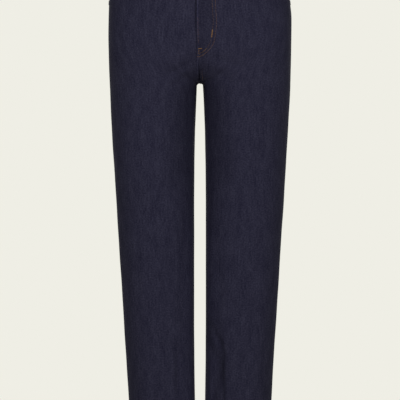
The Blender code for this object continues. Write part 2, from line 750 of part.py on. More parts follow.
def main():
    for old in list(bpy.data.objects):
        bpy.data.objects.remove(old)
    denim = material("raw_indigo_denim", (0.020, 0.019, 0.034), 0.92)
    twill = material("cotton_pocket_twill", (0.60, 0.58, 0.52), 0.90)
    tape = material("zip_tape_cotton", (0.018, 0.018, 0.028), 0.85)
    copper = material("aged_copper_metal", (0.42, 0.21, 0.12), 0.38, 1.0)
    for word, side in (("left", LEFT), ("right", RIGHT)):
        front_panel("front_" + word, side, denim)
        back_panel("back_" + word, side, denim)
        yoke("yoke_" + word, side, denim)
        pocket_facing("pocket_facing_" + word, side, denim)
        pocket_bag("pocket_bag_" + word, side, twill)
        back_pocket("back_pocket_" + word, side, denim)
        hem_turn_up("hem_turn_up_" + word, side, denim)
    fly_facing("fly_facing", denim)
    fly_shield("fly_shield", denim)
    zip_tape("zip_tape", tape)
    zip_slider("zip_slider", copper)
    waistband("waistband", denim)
    for loop in BELT_LOOPS:
        belt_loop(loop.name, loop.round, loop.side, denim)
    button("button", copper)


main()
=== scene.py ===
"""Straight-leg jeans in raw indigo denim, hollow and filled out with no wearer.

Every cloth piece is a thin wall on one surface of section rings, the same as in the solids. "drop" says
how far down a ring lies: -0.2 at the waistband's top, 0 at its seam, 1 at the crotch and 2 at the hem.
"round" says how far along it a point lies: 0 at the centre front or inseam, 1 at the centre back or
inseam. Metres, +Z up, front towards -Y, the wearer's left towards +X.
"""

import math
from collections import namedtuple
from functools import lru_cache

import bpy
import numpy as np
from bpy.props import FloatProperty, FloatVectorProperty, PointerProperty
from bpy.types import Operator, Panel, PropertyGroup
from mathutils import Matrix, Vector


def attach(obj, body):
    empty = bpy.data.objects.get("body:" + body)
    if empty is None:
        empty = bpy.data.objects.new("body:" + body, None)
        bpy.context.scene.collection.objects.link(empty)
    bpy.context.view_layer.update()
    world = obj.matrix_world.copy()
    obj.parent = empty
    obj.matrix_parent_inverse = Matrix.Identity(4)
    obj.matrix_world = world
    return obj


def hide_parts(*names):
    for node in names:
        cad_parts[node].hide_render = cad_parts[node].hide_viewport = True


bl_info = {
    "name": "Straight-leg jeans",
    "version": (1, 0, 0),
    "blender": (4, 5, 0),
    "location": "View3D > Sidebar > Jeans",
    "description": "Sews straight-leg denim jeans round their solids",
    "category": "Object",
}

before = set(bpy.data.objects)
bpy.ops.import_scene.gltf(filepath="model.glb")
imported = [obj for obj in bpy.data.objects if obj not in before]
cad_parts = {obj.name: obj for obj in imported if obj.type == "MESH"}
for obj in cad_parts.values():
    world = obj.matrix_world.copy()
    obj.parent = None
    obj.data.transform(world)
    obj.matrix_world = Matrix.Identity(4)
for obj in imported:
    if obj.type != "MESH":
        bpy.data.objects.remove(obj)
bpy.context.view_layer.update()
LEFT = 1
RIGHT = -1
SIDES = (("left", LEFT), ("right", RIGHT))


def table(kind, columns, *rows):
    """Rows with named columns."""
    row_of = namedtuple(kind, columns)
    return tuple(row_of(*row) for row in rows)


# ---- sizes shared with the solids ----
DENIM = 0.0014
SEAM_GAP = 0.0003
PLY_GAP = 0.0005
BAG_CLOTH = 0.0010
WAIST_SEAM = -0.020
BAND_HEIGHT = 0.040
BAND_DROP = -0.2
CROTCH = -0.230
CROTCH_ROW_AT_SIDE = -0.205
HEM = -0.950
FRONT_BEND = -0.125
BACK_BEND = -0.100
FRONT_DIP = 0.007
BACK_LIFT = 0.009
HIP_SQUARENESS = 2.4
LEG_SQUARENESS = 2.15
SQUARE_FROM = 0.7
SQUARE_TO = 1.2
EASE_SPREAD = 0.022
EASE_FULL = 0.16
EASE_STEP = 0.001
DEPTH_SHARE = 0.6
DIP_REACH = 0.45
SIDE_SEAM = 0.475
PANEL_TOP = 0.0016
SCOOP_START = 0.260
SCOOP_DROP = 0.25
SCOOP_SQUARENESS = 2.2
FACING_START = 0.215
FACING_DEEP = 0.27          # shares of the way from the mouth to the crotch
BAG_START = 0.165
BAG_DEEP = 0.82
BAG_CORNER = 0.10
YOKE_AT_SIDE = 0.19
YOKE_AT_MIDDLE = 0.25
FLY_WIDTH = 0.034
FLY_BOTTOM = -0.178
FLY_BEND = -0.135
ZIP_BOTTOM = -0.166
ZIP_HALF_WIDTH = 0.0120
ZIP_MIDDLE = 0.0040
SHIELD_SEWN = -0.030
SHIELD_FREE = 0.022
SHIELD_BOTTOM = -0.170
SLIDER_THICKNESS = 0.0022
INNER_FACE = -DENIM - PLY_GAP
SLIDER_FACE = INNER_FACE - DENIM - PLY_GAP
TAPE_FACE = SLIDER_FACE - SLIDER_THICKNESS - PLY_GAP
SHIELD_FACE = TAPE_FACE - 2 * BAG_CLOTH - PLY_GAP
BAND_OUT = 0.0010
BAND_IN = 0.0020
BAND_LAP = 0.0105
BAND_UNDERLAP = 0.0240
BAND_RAMP = 0.0120
BAND_RAMP_CLEAR = 0.0030
HOLE_START = -0.0010
HOLE_END = 0.0130
HOLE_BOTTOM = -0.0875
HOLE_TOP = -0.1125
LOOP_WIDTH = 0.0110
LOOP_THICKNESS = 0.0016
POCKET_MOUTH = (0.628, 0.928)
POCKET_FOOT = (0.652, 0.904)
POCKET_BELOW_YOKE = 0.015
POCKET_SIDE = 0.112
POCKET_POINT = 0.016
POCKET_LIFT = 0.0010
POCKET_HALF = 0.070         # half its width and its height at the middle, for insets
POCKET_DEEP = 0.124
HEM_TURN = 1.972
RISE = WAIST_SEAM - CROTCH  # a drop of 1 down the centre front, about
BACK_RISE = 0.2             # and down the yoke
CLOTH_APART = 1.37          # between the two sides' cloth laid flat, so that their grain differs
FRONT_GRAIN = 0.2375        # the rounds that the warp follows down fronts, backs and back pockets
BACK_GRAIN = 0.7375
POCKET_GRAIN = 0.7775

SECTIONS = table(
    "Section", "height half_width front back",
    (0.020, 0.1625, 0.1030, 0.1120),
    (-0.020, 0.1735, 0.1100, 0.1190),
    (-0.062, 0.1815, 0.1165, 0.1265),
    (-0.102, 0.1823, 0.1190, 0.1300),
    (-0.142, 0.1823, 0.1180, 0.1295),
    (-0.182, 0.1819, 0.1145, 0.1250),
    (-0.230, 0.1802, 0.1090, 0.1165),
    (-0.262, 0.1789, 0.1050, 0.1110),
    (-0.322, 0.1758, 0.0980, 0.1030),
    (-0.382, 0.1721, 0.0920, 0.0965),
    (-0.462, 0.1672, 0.0855, 0.0900),
    (-0.582, 0.1596, 0.0780, 0.0820),
    (-0.722, 0.1506, 0.0725, 0.0760),
    (-0.862, 0.1422, 0.0685, 0.0710),
    (-0.950, 0.1375, 0.0665, 0.0680),
)
LEG_GAPS = table(
    "LegGap", "height half_gap",
    (-0.2300, 0.0000),
    (-0.2303, 0.0042),
    (-0.2312, 0.0057),
    (-0.2335, 0.0063),
    (-0.2420, 0.0067),
    (-0.2620, 0.0077),
    (-0.3220, 0.0102),
    (-0.3820, 0.0114),
    (-0.4620, 0.0120),
    (-0.7220, 0.0120),
    (-0.8000, 0.0114),
    (-0.8620, 0.0104),
    (-0.9500, 0.0088),
)
FLY_EDGE = table(           # the fly's folded edge, past the middle on the wearer's right
    "FlyEdge", "height past_middle",
    (0.000, 0.0078),
    (-0.110, 0.0078),
    (-0.130, 0.0072),
    (-0.160, 0.0069),
    (-0.184, 0.0062),
    (-0.196, 0.0036),
    (-0.226, 0.0),
)
BELT_LOOPS = table(
    "BeltLoop", "node round side",
    ("belt_loop_front_left", 0.135, LEFT),
    ("belt_loop_front_right", 0.135, RIGHT),
    ("belt_loop_back_left", 0.845, LEFT),
    ("belt_loop_back_right", 0.845, RIGHT),
    ("belt_loop_centre_back", 1.0, LEFT),
)
LOOP_STATIONS = table(
    "LoopStation", "drop out",
    (-0.199, 0.0014),
    (-0.188, 0.0018),
    (-0.168, 0.0058),
    (-0.140, 0.0082),
    (-0.100, 0.0092),
    (-0.060, 0.0084),
    (-0.025, 0.0056),
    (-0.004, 0.0020),
    (0.020, 0.0010),
    (0.060, 0.0005),
)

# ---- topstitching of the fly, as places on the front ----
SPOT = ("Spot", "across height")
FLY_OUTER_ROW = table(
    *SPOT,
    (0.0290, -0.0320), (0.0294, -0.0710), (0.0306, -0.0900), (0.0320, -0.1100),
    (0.0320, -0.1238), (0.0309, -0.1336), (0.0287, -0.1492), (0.0261, -0.1588),
    (0.0205, -0.1668), (0.0143, -0.1738), (0.0068, -0.1797), (-0.0010, -0.1824),
    (-0.0054, -0.1832),
)
FLY_INNER_ROW = table(
    *SPOT,
    (0.0232, -0.0320), (0.0235, -0.0710), (0.0243, -0.0900), (0.0258, -0.1100),
    (0.0256, -0.1220), (0.0243, -0.1300), (0.0227, -0.1439), (0.0208, -0.1531),
    (0.0180, -0.1599), (0.0143, -0.1664), (0.0082, -0.1720), (-0.0014, -0.1765),
    (-0.0050, -0.1772),
)
FLY_TACK = table(*SPOT, (0.0243, -0.1318), (0.0225, -0.1460))
SEAM_TACK = table(*SPOT, (-0.0037, -0.1672), (0.0048, -0.1672))
SEAM_TACK_TAIL = table(*SPOT, (-0.0030, -0.1690), (-0.0030, -0.1762))
FLY_EDGE_ROW = table(*SPOT, (-0.0040, -0.1080), (-0.0038, -0.1560))
CROTCH_ROW = table(*SPOT, (0.0042, -0.2070), (0.0052, -0.2265))
SHIN_FOLD = table(          # the bottom of the fold low on the wearer's left leg, along which shade is painted
    *SPOT,
    (0.0140, -0.7050), (0.0210, -0.7420), (0.0410, -0.7750), (0.0410, -0.8000),
    (0.0350, -0.8350), (0.0350, -0.9000),
)

# ---- relief of seams and rows of stitches, and where the rows lie ----
SEAM_GROOVE = (0.0008, 0.0018)      # depth and reach
ROW_GROOVE = (0.0004, 0.0011)
OUTER_ROW_GROOVE = (0.0005, 0.0011)
FOLD_GROOVE = (0.0018, 0.0030)
CROTCH_GROOVE = (0.0006, 0.0012)
CROTCH_RIDGE = (0.0013, 0.0070)
MOUTH_PLIES = (0.0090, 0.0125)      # the mouth's turned edge slopes off between these distances
MOUTH_RAISED = 0.0007
MOUTH_ROWS = (0.0022, 0.0084)       # from the edge or seam beside them
SEAM_ROWS = (0.0022, 0.0080)
POCKET_ROWS = (0.0020, 0.0084)
POCKET_HEM_ROWS = (0.0020, 0.0140)
BAND_ROWS = (-0.013, -0.188)        # drops
LOOP_ROWS = (-0.55, 0.55)           # shares of half a loop's width
TACK_WIDTH = 0.0022
LAID = 0.0001                       # how far a row's thread lies above the cloth

# ---- zip ----
TOOTH_PITCH = 0.0022
TOOTH_HALF_WIDTH = 0.0016
TOOTH_RADIUS = 0.0006
TOOTH_ASIDE = 0.0009                # of the chain's two halves from its middle
TOOTH_SHIFT = 0.0055                # drops between the halves

# ---- lights; power is a setting of the stage ----
LAMPS = table(
    "Lamp", "name place size power share",
    ("front_softbox_right", (-1.7, -2.8, 0.9), 1.6, "front_power", 0.93),
    ("front_softbox_left", (1.7, -2.8, 0.9), 1.6, "front_power", 1.07),
    ("back_softbox_right", (-0.9, 3.0, 0.6), 1.6, "back_power", 1.0),
    ("back_softbox_left", (0.9, 3.0, 0.6), 1.6, "back_power", 1.0),
    ("top_softbox", (0.0, 0.0, 2.6), 2.0, "top_power", 1.0),
)
LAMPS_AIM = (0, 0, -0.35)

# ---- creases, as places seen from the front; depth is outwards, and a trough's is negative ----
CREASE_COLUMNS = "x0 z0 x1 z1 bow width depth"
FRONT_CREASES = table(
    "Crease", CREASE_COLUMNS,
    # crotch
    (-0.008, -0.190, -0.098, -0.229, 0.004, 0.0080, -0.0026),
    (-0.004, -0.206, -0.070, -0.246, 0.002, 0.0070, -0.0014),
    (0.006, -0.186, 0.098, -0.207, 0.004, 0.0085, -0.0026),
    (0.004, -0.205, 0.076, -0.238, 0.003, 0.0070, -0.0014),
    (-0.020, -0.172, -0.105, -0.196, 0.005, 0.0100, 0.0014),
    (0.020, -0.168, 0.105, -0.176, 0.005, 0.0100, 0.0012),
    # the wearer's left leg
    (0.015, -0.700, 0.050, -0.785, 0.003, 0.0062, -0.0045),
    (0.037, -0.730, 0.042, -0.895, 0.001, 0.0066, -0.0072),
    (0.019, -0.748, 0.021, -0.890, 0.001, 0.0055, 0.0024),
    (0.036, -0.680, 0.052, -0.725, 0.000, 0.0050, 0.0010),
    (0.063, -0.545, 0.094, -0.692, 0.004, 0.0090, 0.0017),
    (0.095, -0.672, 0.071, -0.866, -0.003, 0.0095, 0.0022),
    (0.058, -0.645, 0.076, -0.702, 0.000, 0.0070, -0.0013),
    (0.036, -0.590, 0.043, -0.665, 0.000, 0.0075, -0.0013),
    (0.110, -0.300, 0.100, -0.420, 0.003, 0.0120, 0.0010),
    (0.060, -0.330, 0.052, -0.460, -0.003, 0.0110, -0.0010),
    # the wearer's right leg
    (-0.115, -0.540, -0.113, -0.665, 0.002, 0.0070, 0.0014),
    (-0.092, -0.440, -0.090, -0.515, 0.001, 0.0080, 0.0010),
    (-0.070, -0.530, -0.068, -0.600, 0.001, 0.0070, 0.0012),
    (-0.055, -0.630, -0.052, -0.700, 0.001, 0.0075, 0.0016),
    (-0.092, -0.735, -0.088, -0.805, 0.000, 0.0080, 0.0011),
    (-0.029, -0.480, -0.027, -0.555, 0.000, 0.0080, -0.0012),
    (-0.044, -0.735, -0.043, -0.870, 0.001, 0.0060, -0.0032),
    (-0.025, -0.795, -0.023, -0.885, 0.001, 0.0055, 0.0014),
    (-0.112, -0.290, -0.104, -0.400, -0.003, 0.0120, 0.0010),
    # the inner folds of both legs
    (-0.021, -0.470, -0.020, -0.935, 0.000, 0.0090, 0.0016),
    (0.022, -0.490, 0.021, -0.720, 0.000, 0.0085, 0.0014),
    # hips
    (-0.158, -0.105, -0.160, -0.180, 0.000, 0.0060, -0.0009),
    (0.150, -0.110, 0.156, -0.190, 0.000, 0.0070, -0.0008),
)
BACK_CREASES = table(       # the seat and the backs of the legs
    "Crease", CREASE_COLUMNS,
    (0.016, -0.196, 0.110, -0.226, -0.006, 0.0090, -0.0026),
    (-0.014, -0.198, -0.112, -0.232, -0.005, 0.0095, -0.0028),
    (0.024, -0.222, 0.120, -0.262, -0.006, 0.0100, -0.0017),
    (-0.024, -0.226, -0.104, -0.262, -0.004, 0.0090, -0.0015),
    (0.030, -0.590, 0.128, -0.566, -0.008, 0.0090, -0.0022),
    (0.026, -0.628, 0.110, -0.618, -0.006, 0.0085, -0.0018),
    (0.050, -0.655, 0.132, -0.672, 0.004, 0.0090, -0.0014),
    (-0.034, -0.582, -0.126, -0.572, -0.007, 0.0090, -0.0020),
    (-0.024, -0.618, -0.118, -0.632, 0.006, 0.0090, -0.0022),
    (-0.048, -0.662, -0.124, -0.655, -0.004, 0.0080, -0.0013),
    (0.082, -0.700, 0.070, -0.880, 0.004, 0.0110, 0.0018),
    (-0.076, -0.710, -0.068, -0.890, -0.003, 0.0110, 0.0019),
    (0.040, -0.760, 0.036, -0.900, 0.002, 0.0080, -0.0022),
    (-0.042, -0.750, -0.034, -0.880, 0.002, 0.0080, -0.0020),
    (0.100, -0.300, 0.092, -0.480, 0.004, 0.0130, 0.0014),
    (-0.102, -0.310, -0.090, -0.470, -0.004, 0.0130, 0.0014),
)
PAINTED_LIGHT_BY_HEIGHT = ((-0.85, -0.15), (-0.085, 0.035))    # heights, and how much paler the cloth is painted there: painted light towards the hips, painted shade towards the hems
PAINTED_SHADE_AT_SIDES = -0.15       # painted shade at the side seams, where the legs turn away from the light
PAINTED_SHADE_OF_THIGHS = -0.13      # painted shade on the inner thighs, between the legs
PAINTED_LIGHT_OF_EDGES = 0.18        # painted light at the inner edges below the knee
PAINTED_SHADE_OF_PLIES = -0.14       # painted shade on the doubled plies beside the fly
PAINTED_SHADE_OF_FOLD = -0.25        # painted shade in the fold low on the wearer's left leg
FOLD_WIDTH = 0.0085
HIGHLIGHT_AT = -0.0045         # across, where a highlight is painted along the fly's folded edge
HIGHLIGHT_WIDTH = 0.0008
PAINTED_PATCHES = table(       # where light or shade is painted into the cloth: painted shade at the crotch, painted light on the wearer's right thigh
    "Patch", "x z half_width half_height paler",
    (0.000, -0.204, 0.026, 0.026, -0.07),
    (-0.115, -0.310, 0.035, 0.090, 0.06),
)
WAVES = table(              # slow unevenness of the cloth
    "Wave", "up round size",
    (31.0, 9.0, 0.00022),
    (53.0, 21.0, 0.00016),
    (84.0, 34.0, 0.00011),
    (19.0, 47.0, 0.00013),
)
WAVE_STEP = 1.7             # phase from one wave to the next
RIGHT_PHASE = 0.9
PLAIN_AT_SIDE = 0.014       # creases fade out towards the side seam within this
PLAIN_AT_SEAM = 0.010
PLAIN_DROPS = 0.12
HOLLOW_DEPTH = 0.0020       # the wearer's left hip is slightly hollow below the waistband
HOLLOW_REACH = 0.07
HOLLOW_HEIGHTS = (-0.100, -0.062)


# ---------------------------------------------------------------- the surface


def smooth_curve(rows, heights, column):
    """A column's values at some heights, on a smooth curve through a table sorted downwards."""
    keys = np.array([row.height for row in rows])
    values = np.array([getattr(row, column) for row in rows])
    before = np.clip(np.arange(len(keys)) - 1, 0, len(keys) - 1)
    after = np.clip(np.arange(len(keys)) + 1, 0, len(keys) - 1)
    slopes = (values[after] - values[before]) / (keys[after] - keys[before])
    high = np.clip(np.searchsorted(-keys, -np.asarray(heights), side="left"), 1, len(keys) - 1)
    low = high - 1
    span = keys[high] - keys[low]
    t = np.clip((heights - keys[low]) / span, 0.0, 1.0)
    return (values[low] * (2 * t**3 - 3 * t**2 + 1) + slopes[low] * span * (t**3 - 2 * t**2 + t)
            + values[high] * (3 * t**2 - 2 * t**3) + slopes[high] * span * (t**3 - t**2))


def straight_curve(rows, heights, column):
    """A column's values at some heights, on straight lines through a table sorted downwards."""
    rows = rows[::-1]
    return np.interp(heights, [row.height for row in rows], [getattr(row, column) for row in rows])


def openness(height, bend):
    """0 where the body is one tube, 1 at the crotch where the legs part."""
    return np.clip((bend - height) / (bend - CROTCH), 0.0, 1.0)


def along_path(stops, lengths, path):
    """The points at some stops along a path."""
    return np.column_stack([np.interp(stops, lengths, axis) for axis in np.transpose(path)])


def lengths_along(path):
    """How far along a path each of its points lies."""
    return np.concatenate(([0.0], np.cumsum(np.linalg.norm(np.diff(path, axis=0), axis=1))))


@lru_cache(maxsize=None)
def rise_curve(top, bend, depth_column):
    """Drops and heights of the centre seam, at even steps along its U from waistband to crotch."""
    share = np.arange(120) / 120
    heights = np.concatenate((top + (bend - top) * share, bend + (CROTCH - bend)
                              * np.sin(math.pi / 2 * np.append(share, 1.0)) ** (2 / HIP_SQUARENESS)))
    narrowing = (1 - openness(heights, bend) ** HIP_SQUARENESS) ** (1 / HIP_SQUARENESS)
    depth = smooth_curve(SECTIONS, heights, depth_column) * narrowing
    lengths = lengths_along(np.column_stack((depth, heights)))
    return lengths / lengths[-1], heights


def front_seam():
    """Drops and heights of the centre front seam."""
    return rise_curve(WAIST_SEAM - FRONT_DIP, FRONT_BEND, "front")


def seam_heights(drop):
    """Heights of a ring at the side, at the centre front or inseam, and at the centre back or inseam."""
    if drop < 0:
        side = WAIST_SEAM + BAND_HEIGHT * drop / BAND_DROP
        return side, side - FRONT_DIP, side + BACK_LIFT
    if drop <= 1:
        side = WAIST_SEAM + (CROTCH_ROW_AT_SIDE - WAIST_SEAM) * drop
        front = np.interp(drop, *front_seam())
        back = np.interp(drop, *rise_curve(WAIST_SEAM + BACK_LIFT, BACK_BEND, "back"))
        return side, float(front), float(back)
    inseam = CROTCH + (HEM - CROTCH) * (drop - 1)
    return CROTCH_ROW_AT_SIDE + (HEM - CROTCH_ROW_AT_SIDE) * (drop - 1), inseam, inseam


def ring(drop):
    """One section ring: rounds, points and length."""
    side, front_end, back_end = seam_heights(drop)
    half_width = float(smooth_curve(SECTIONS, side, "half_width"))
    squareness = float(np.interp(drop, (SQUARE_FROM, SQUARE_TO), (HIP_SQUARENESS, LEG_SQUARENESS)))
    halves = []
    for column, end, bend, way in (("front", front_end, FRONT_BEND, -1), ("back", back_end, BACK_BEND, 1)):
        depth = float(smooth_curve(SECTIONS, side + DEPTH_SHARE * (end - side), column))
        k = float(openness(end, bend))
        inner = half_width * (k - 1) / (k + 1)
        if drop > 1:
            inner = float(straight_curve(LEG_GAPS, end, "half_gap"))
        centre = (half_width + inner) / 2
        reach = (half_width - inner) / 2
        start = math.acos(min(centre / reach, 1.0) ** (squareness / 2))
        angle = np.linspace(start, math.pi, 181)
        across = -np.sign(np.cos(angle)) * np.abs(np.cos(angle)) ** (2 / squareness)
        along = way * depth * np.abs(np.sin(angle)) ** (2 / squareness)
        halves.append(np.column_stack((centre + reach * across, along)))
    plan = np.vstack((halves[0], halves[1][-2::-1]))
    rounds = lengths_along(plan)
    length = float(rounds[-1])
    rounds /= length

    def fall(r):
        return 0.5 * (1 + np.cos(np.pi * np.minimum(r / DIP_REACH, 1.0)))

    heights = side + (front_end - side) * fall(rounds) + (back_end - side) * fall(1 - rounds)
    return rounds, np.column_stack((plan, heights)), length


def eased(points, spread):
    """A path with its bends rounded off by a running mean; its ends stay where they are."""
    lengths = lengths_along(points)
    even = np.linspace(0.0, lengths[-1], math.ceil(lengths[-1] / EASE_STEP) + 1)
    path = along_path(even, lengths, points)
    reach = int(3 * spread / EASE_STEP)
    before = 2 * path[0] - path[reach:0:-1]
    after = 2 * path[-1] - path[-2:-reach - 2:-1]
    longer = np.vstack((before, path, after))
    kernel = np.exp(-0.5 * (np.arange(-reach, reach + 1) * EASE_STEP / spread) ** 2)
    kernel /= kernel.sum()
    soft = np.column_stack([np.convolve(longer[:, axis], kernel, mode="valid") for axis in range(3)])
    return along_path(lengths, even, soft)


DROPS = np.concatenate((np.linspace(BAND_DROP, 0, 17)[:-1], np.linspace(0, 1, 101),
                        1 + (np.arange(1, 261) / 260) ** 1.4))
ROUNDS = np.linspace(0.0, 1.0, 281)
FLAT_COLUMN = 67        # the column whose length down the leg gives the flat cloth's


@lru_cache(maxsize=1)
def plain_form():
    """Points of the wearer's left half without its creases, the length of each ring and the flat drop."""
    points = np.empty((len(DROPS), len(ROUNDS), 3))
    lengths = np.empty(len(DROPS))
    for i, drop in enumerate(DROPS):
        rounds, outline, lengths[i] = ring(drop)
        points[i] = along_path(ROUNDS, rounds, outline)
    for j, round_ in enumerate(ROUNDS):
        share = min(min(round_, 1 - round_) / EASE_FULL, 1.0)
        if share * EASE_SPREAD > EASE_STEP:
            points[:, j] = eased(points[:, j], share * EASE_SPREAD)
    return points, lengths, lengths_along(points[:, FLAT_COLUMN])


def grid_normals(points):
    """Outward directions of the left half, smooth across the centre seams and the inseams."""
    cell = np.cross(points[1:, 1:] - points[:-1, :-1], points[:-1, 1:] - points[1:, :-1])
    total = np.zeros_like(points)
    for rows in (slice(None, -1), slice(1, None)):
        for columns in (slice(None, -1), slice(1, None)):
            total[rows, columns] += cell
    legs = DROPS >= 1
    total[legs, 0] += total[legs, -1]
    total[legs, -1] = total[legs, 0]
    for column in (0, -1):
        total[DROPS <= 1, column, 0] = 0.0
    return unit(total)


def smooth_step(value, low, high):
    """0 below low, 1 above high, and soft between."""
    t = np.clip((value - low) / (high - low), 0.0, 1.0)
    return t * t * (3 - 2 * t)


def fade(value, low, high):
    """1 below low, 0 above high, and soft between."""
    return 1 - smooth_step(value, low, high)


def bell(distance, reach):
    """1 at no distance, and softly down to almost nothing at twice the reach."""
    return np.exp(-(distance / reach) ** 2)


def unit(vectors):
    """Vectors brought to a length of 1."""
    return vectors / np.linalg.norm(vectors, axis=-1, keepdims=True)


def crease_relief(crease, x, z):
    """How far a crease brings out the places that are seen at x, z."""
    along = np.array((crease.x1 - crease.x0, crease.z1 - crease.z0))
    length = np.linalg.norm(along)
    along /= length
    t = ((x - crease.x0) * along[0] + (z - crease.z0) * along[1]) / length
    across = (z - crease.z0) * along[0] - (x - crease.x0) * along[1]
    across = across - crease.bow * 4 * t * (1 - t)
    window = np.sin(math.pi * np.clip(t, 0, 1)) ** 0.8
    return crease.depth * bell(across, crease.width) * window


@lru_cache(maxsize=None)
def surface(side):
    """Points and outward directions of one half with its creases, in place."""
    plain, lengths, _ = plain_form()
    normals = grid_normals(plain)
    x, z = side * plain[..., 0], plain[..., 2]
    seam = np.minimum(ROUNDS, 1 - ROUNDS)[None, :] * lengths[:, None]
    from_side = np.abs(ROUNDS - SIDE_SEAM)[None, :] * lengths[:, None]
    moved = np.zeros(x.shape)
    for half, creases in ((ROUNDS < SIDE_SEAM, FRONT_CREASES), (ROUNDS > SIDE_SEAM, BACK_CREASES)):
        for crease in creases:
            if side * (crease.x0 + crease.x1) >= 0:
                moved += crease_relief(crease, x, z) * half[None, :]
    moved *= smooth_step(from_side, 0.0, PLAIN_AT_SIDE)
    for k, wave in enumerate(WAVES):
        phase = WAVE_STEP * k + (RIGHT_PHASE if side == RIGHT else 0.0)
        moved += wave.size * np.sin(wave.up * z + 3 * phase) * np.sin(wave.round * ROUNDS[None, :] + phase)
    moved *= smooth_step(seam, 0.0, PLAIN_AT_SEAM) * smooth_step(DROPS, 0.0, PLAIN_DROPS)[:, None]
    moved *= bpy.context.scene.jeans_sizes.crease_strength
    if side == LEFT:
        hollow = bell(ROUNDS - SIDE_SEAM, HOLLOW_REACH)[None, :]
        moved -= HOLLOW_DEPTH * smooth_step(z, *HOLLOW_HEIGHTS) * hollow
    points = plain + normals * moved[..., None]
    normals = grid_normals(points)
    mirror = np.array((side, 1.0, 1.0))
    return points * mirror, normals * mirror


def ring_length(drops):
    """How long the rings are that lie at some drops."""
    return np.interp(drops, DROPS, plain_form()[1])


def sample(grid, i, j, a, b):
    """A grid's values in cells i, j, at the shares a of the way down and b of the way across."""
    return ((grid[i, j] * (1 - b) + grid[i, j + 1] * b) * (1 - a)
            + (grid[i + 1, j] * (1 - b) + grid[i + 1, j + 1] * b) * a)


def at(side, drops, rounds, out=0.0):
    """Points moved out from the surface. Rounds below 0 or above 1 cross to the other side."""
    drops, rounds, out = np.broadcast_arrays(*(np.asarray(v, float) for v in (drops, rounds, out)))
    own = np.where((rounds < 0) | ((rounds > 1) & (rounds <= 2)), -side, side)
    inside = np.where(rounds < 0, -rounds, 1 - np.abs(1 - rounds % 2))
    row = np.interp(drops, DROPS, np.arange(len(DROPS)))
    column = inside * (len(ROUNDS) - 1)
    i = np.minimum(row.astype(int), len(DROPS) - 2)
    j = np.minimum(column.astype(int), len(ROUNDS) - 2)
    result = np.empty(drops.shape + (3,))
    for way in (LEFT, RIGHT):
        here = own == way
        if not here.any():
            continue
        a, b = (row - i)[here][:, None], (column - j)[here][:, None]
        point, normal = (sample(grid, i[here], j[here], a, b) for grid in surface(way))
        result[here] = point + unit(normal) * out[here][:, None]
    return result


def outward(side, drops, rounds):
    """Outward directions at some places."""
    return (at(side, drops, rounds, 0.001) - at(side, drops, rounds, 0.0)) * 1000


def flat(drops, rounds, grain=0.0):
    """Where places lie on the cloth laid flat: from the round that the warp follows, and down."""
    return (rounds - grain) * ring_length(drops), -np.interp(drops, DROPS, plain_form()[2])


def unflat(u, v):
    """The drops and rounds of places on the flat cloth."""
    drops = np.interp(-v, plain_form()[2], DROPS)
    return drops, u / ring_length(drops)


def beside(drops, rounds, distance):
    """A row of places at a distance from another, to the right as it runs, measured on the flat cloth."""
    u, v = flat(*np.broadcast_arrays(np.asarray(drops, float), np.asarray(rounds, float)))
    du, dv = np.gradient(u), np.gradient(v)
    size = np.hypot(du, dv)
    return unflat(u + distance * dv / size, v - distance * du / size)


def distance_to(row, u, v):
    """Distances from points to a row of joined points, all on one plane."""
    nearest = np.full(np.shape(u), 1.0)
    for (au, av), (bu, bv) in zip(row, row[1:]):
        span = (bu - au) ** 2 + (bv - av) ** 2
        t = np.clip(((u - au) * (bu - au) + (v - av) * (bv - av)) / span, 0, 1)
        nearest = np.minimum(nearest, np.hypot(u - au - t * (bu - au), v - av - t * (bv - av)))
    return nearest


def front_drop(height):
    """The drop at which the centre front seam passes a height."""
    drops, heights = front_seam()
    return np.interp(-np.asarray(height), -heights, drops)


def front_places(side, spots, steps=24):
    """The drops and rounds of a smooth row through spots that are seen from the front."""
    stops = np.linspace(0, len(spots) - 1, steps)
    x, z = along_path(stops, range(len(spots)), spots).T
    drops = front_drop(z)
    rounds = side * x / ring_length(drops)
    for _ in range(12):
        point = at(side, drops, rounds)
        drops = drops + (point[:, 2] - z) / RISE
        rounds = rounds + side * (x - point[:, 0]) / ring_length(drops)
    return drops, rounds


def drops_at(heights, rounds):
    """The drops at which columns of the plain form pass some heights."""
    grid = plain_form()[0][..., 2]
    low, high = np.zeros(heights.shape), np.full(heights.shape, 2.0)
    column = np.broadcast_to(rounds, heights.shape) * (len(ROUNDS) - 1)
    j = np.minimum(column.astype(int), len(ROUNDS) - 2)
    for _ in range(30):
        middle = (low + high) / 2
        row = np.interp(middle, DROPS, np.arange(len(DROPS)))
        i = np.minimum(row.astype(int), len(DROPS) - 2)
        z = sample(grid, i, j, row - i, column - j)
        low, high = np.where(z > heights, middle, low), np.where(z > heights, high, middle)
    return low


def past_middle(drops):
    """How far the fly's folded edge and the seam below it lie past the middle."""
    heights = np.interp(drops, *front_seam())
    return np.where(np.asarray(drops) < 1, straight_curve(FLY_EDGE, heights, "past_middle"), 0.0)


def scoop(rounds):
    """Drop of the pocket mouth, which curves from the waistband down to the side seam."""
    along = np.clip((rounds - SCOOP_START) / (SIDE_SEAM - SCOOP_START), 0.0, 1.0)
    return SCOOP_DROP * (1 - (1 - along) ** SCOOP_SQUARENESS) ** (1 / SCOOP_SQUARENESS)


def yoke_seam(rounds):
    """Drop of the seam between yoke and back panel."""
    return YOKE_AT_SIDE + (YOKE_AT_MIDDLE - YOKE_AT_SIDE) * (rounds - SIDE_SEAM) / (1 - SIDE_SEAM)


# ---------------------------------------------------------------- relief of seams and plies


def groove(distance, depth, reach):
    """A dip along a seam or a row of stitches."""
    return -depth * bell(distance, reach)


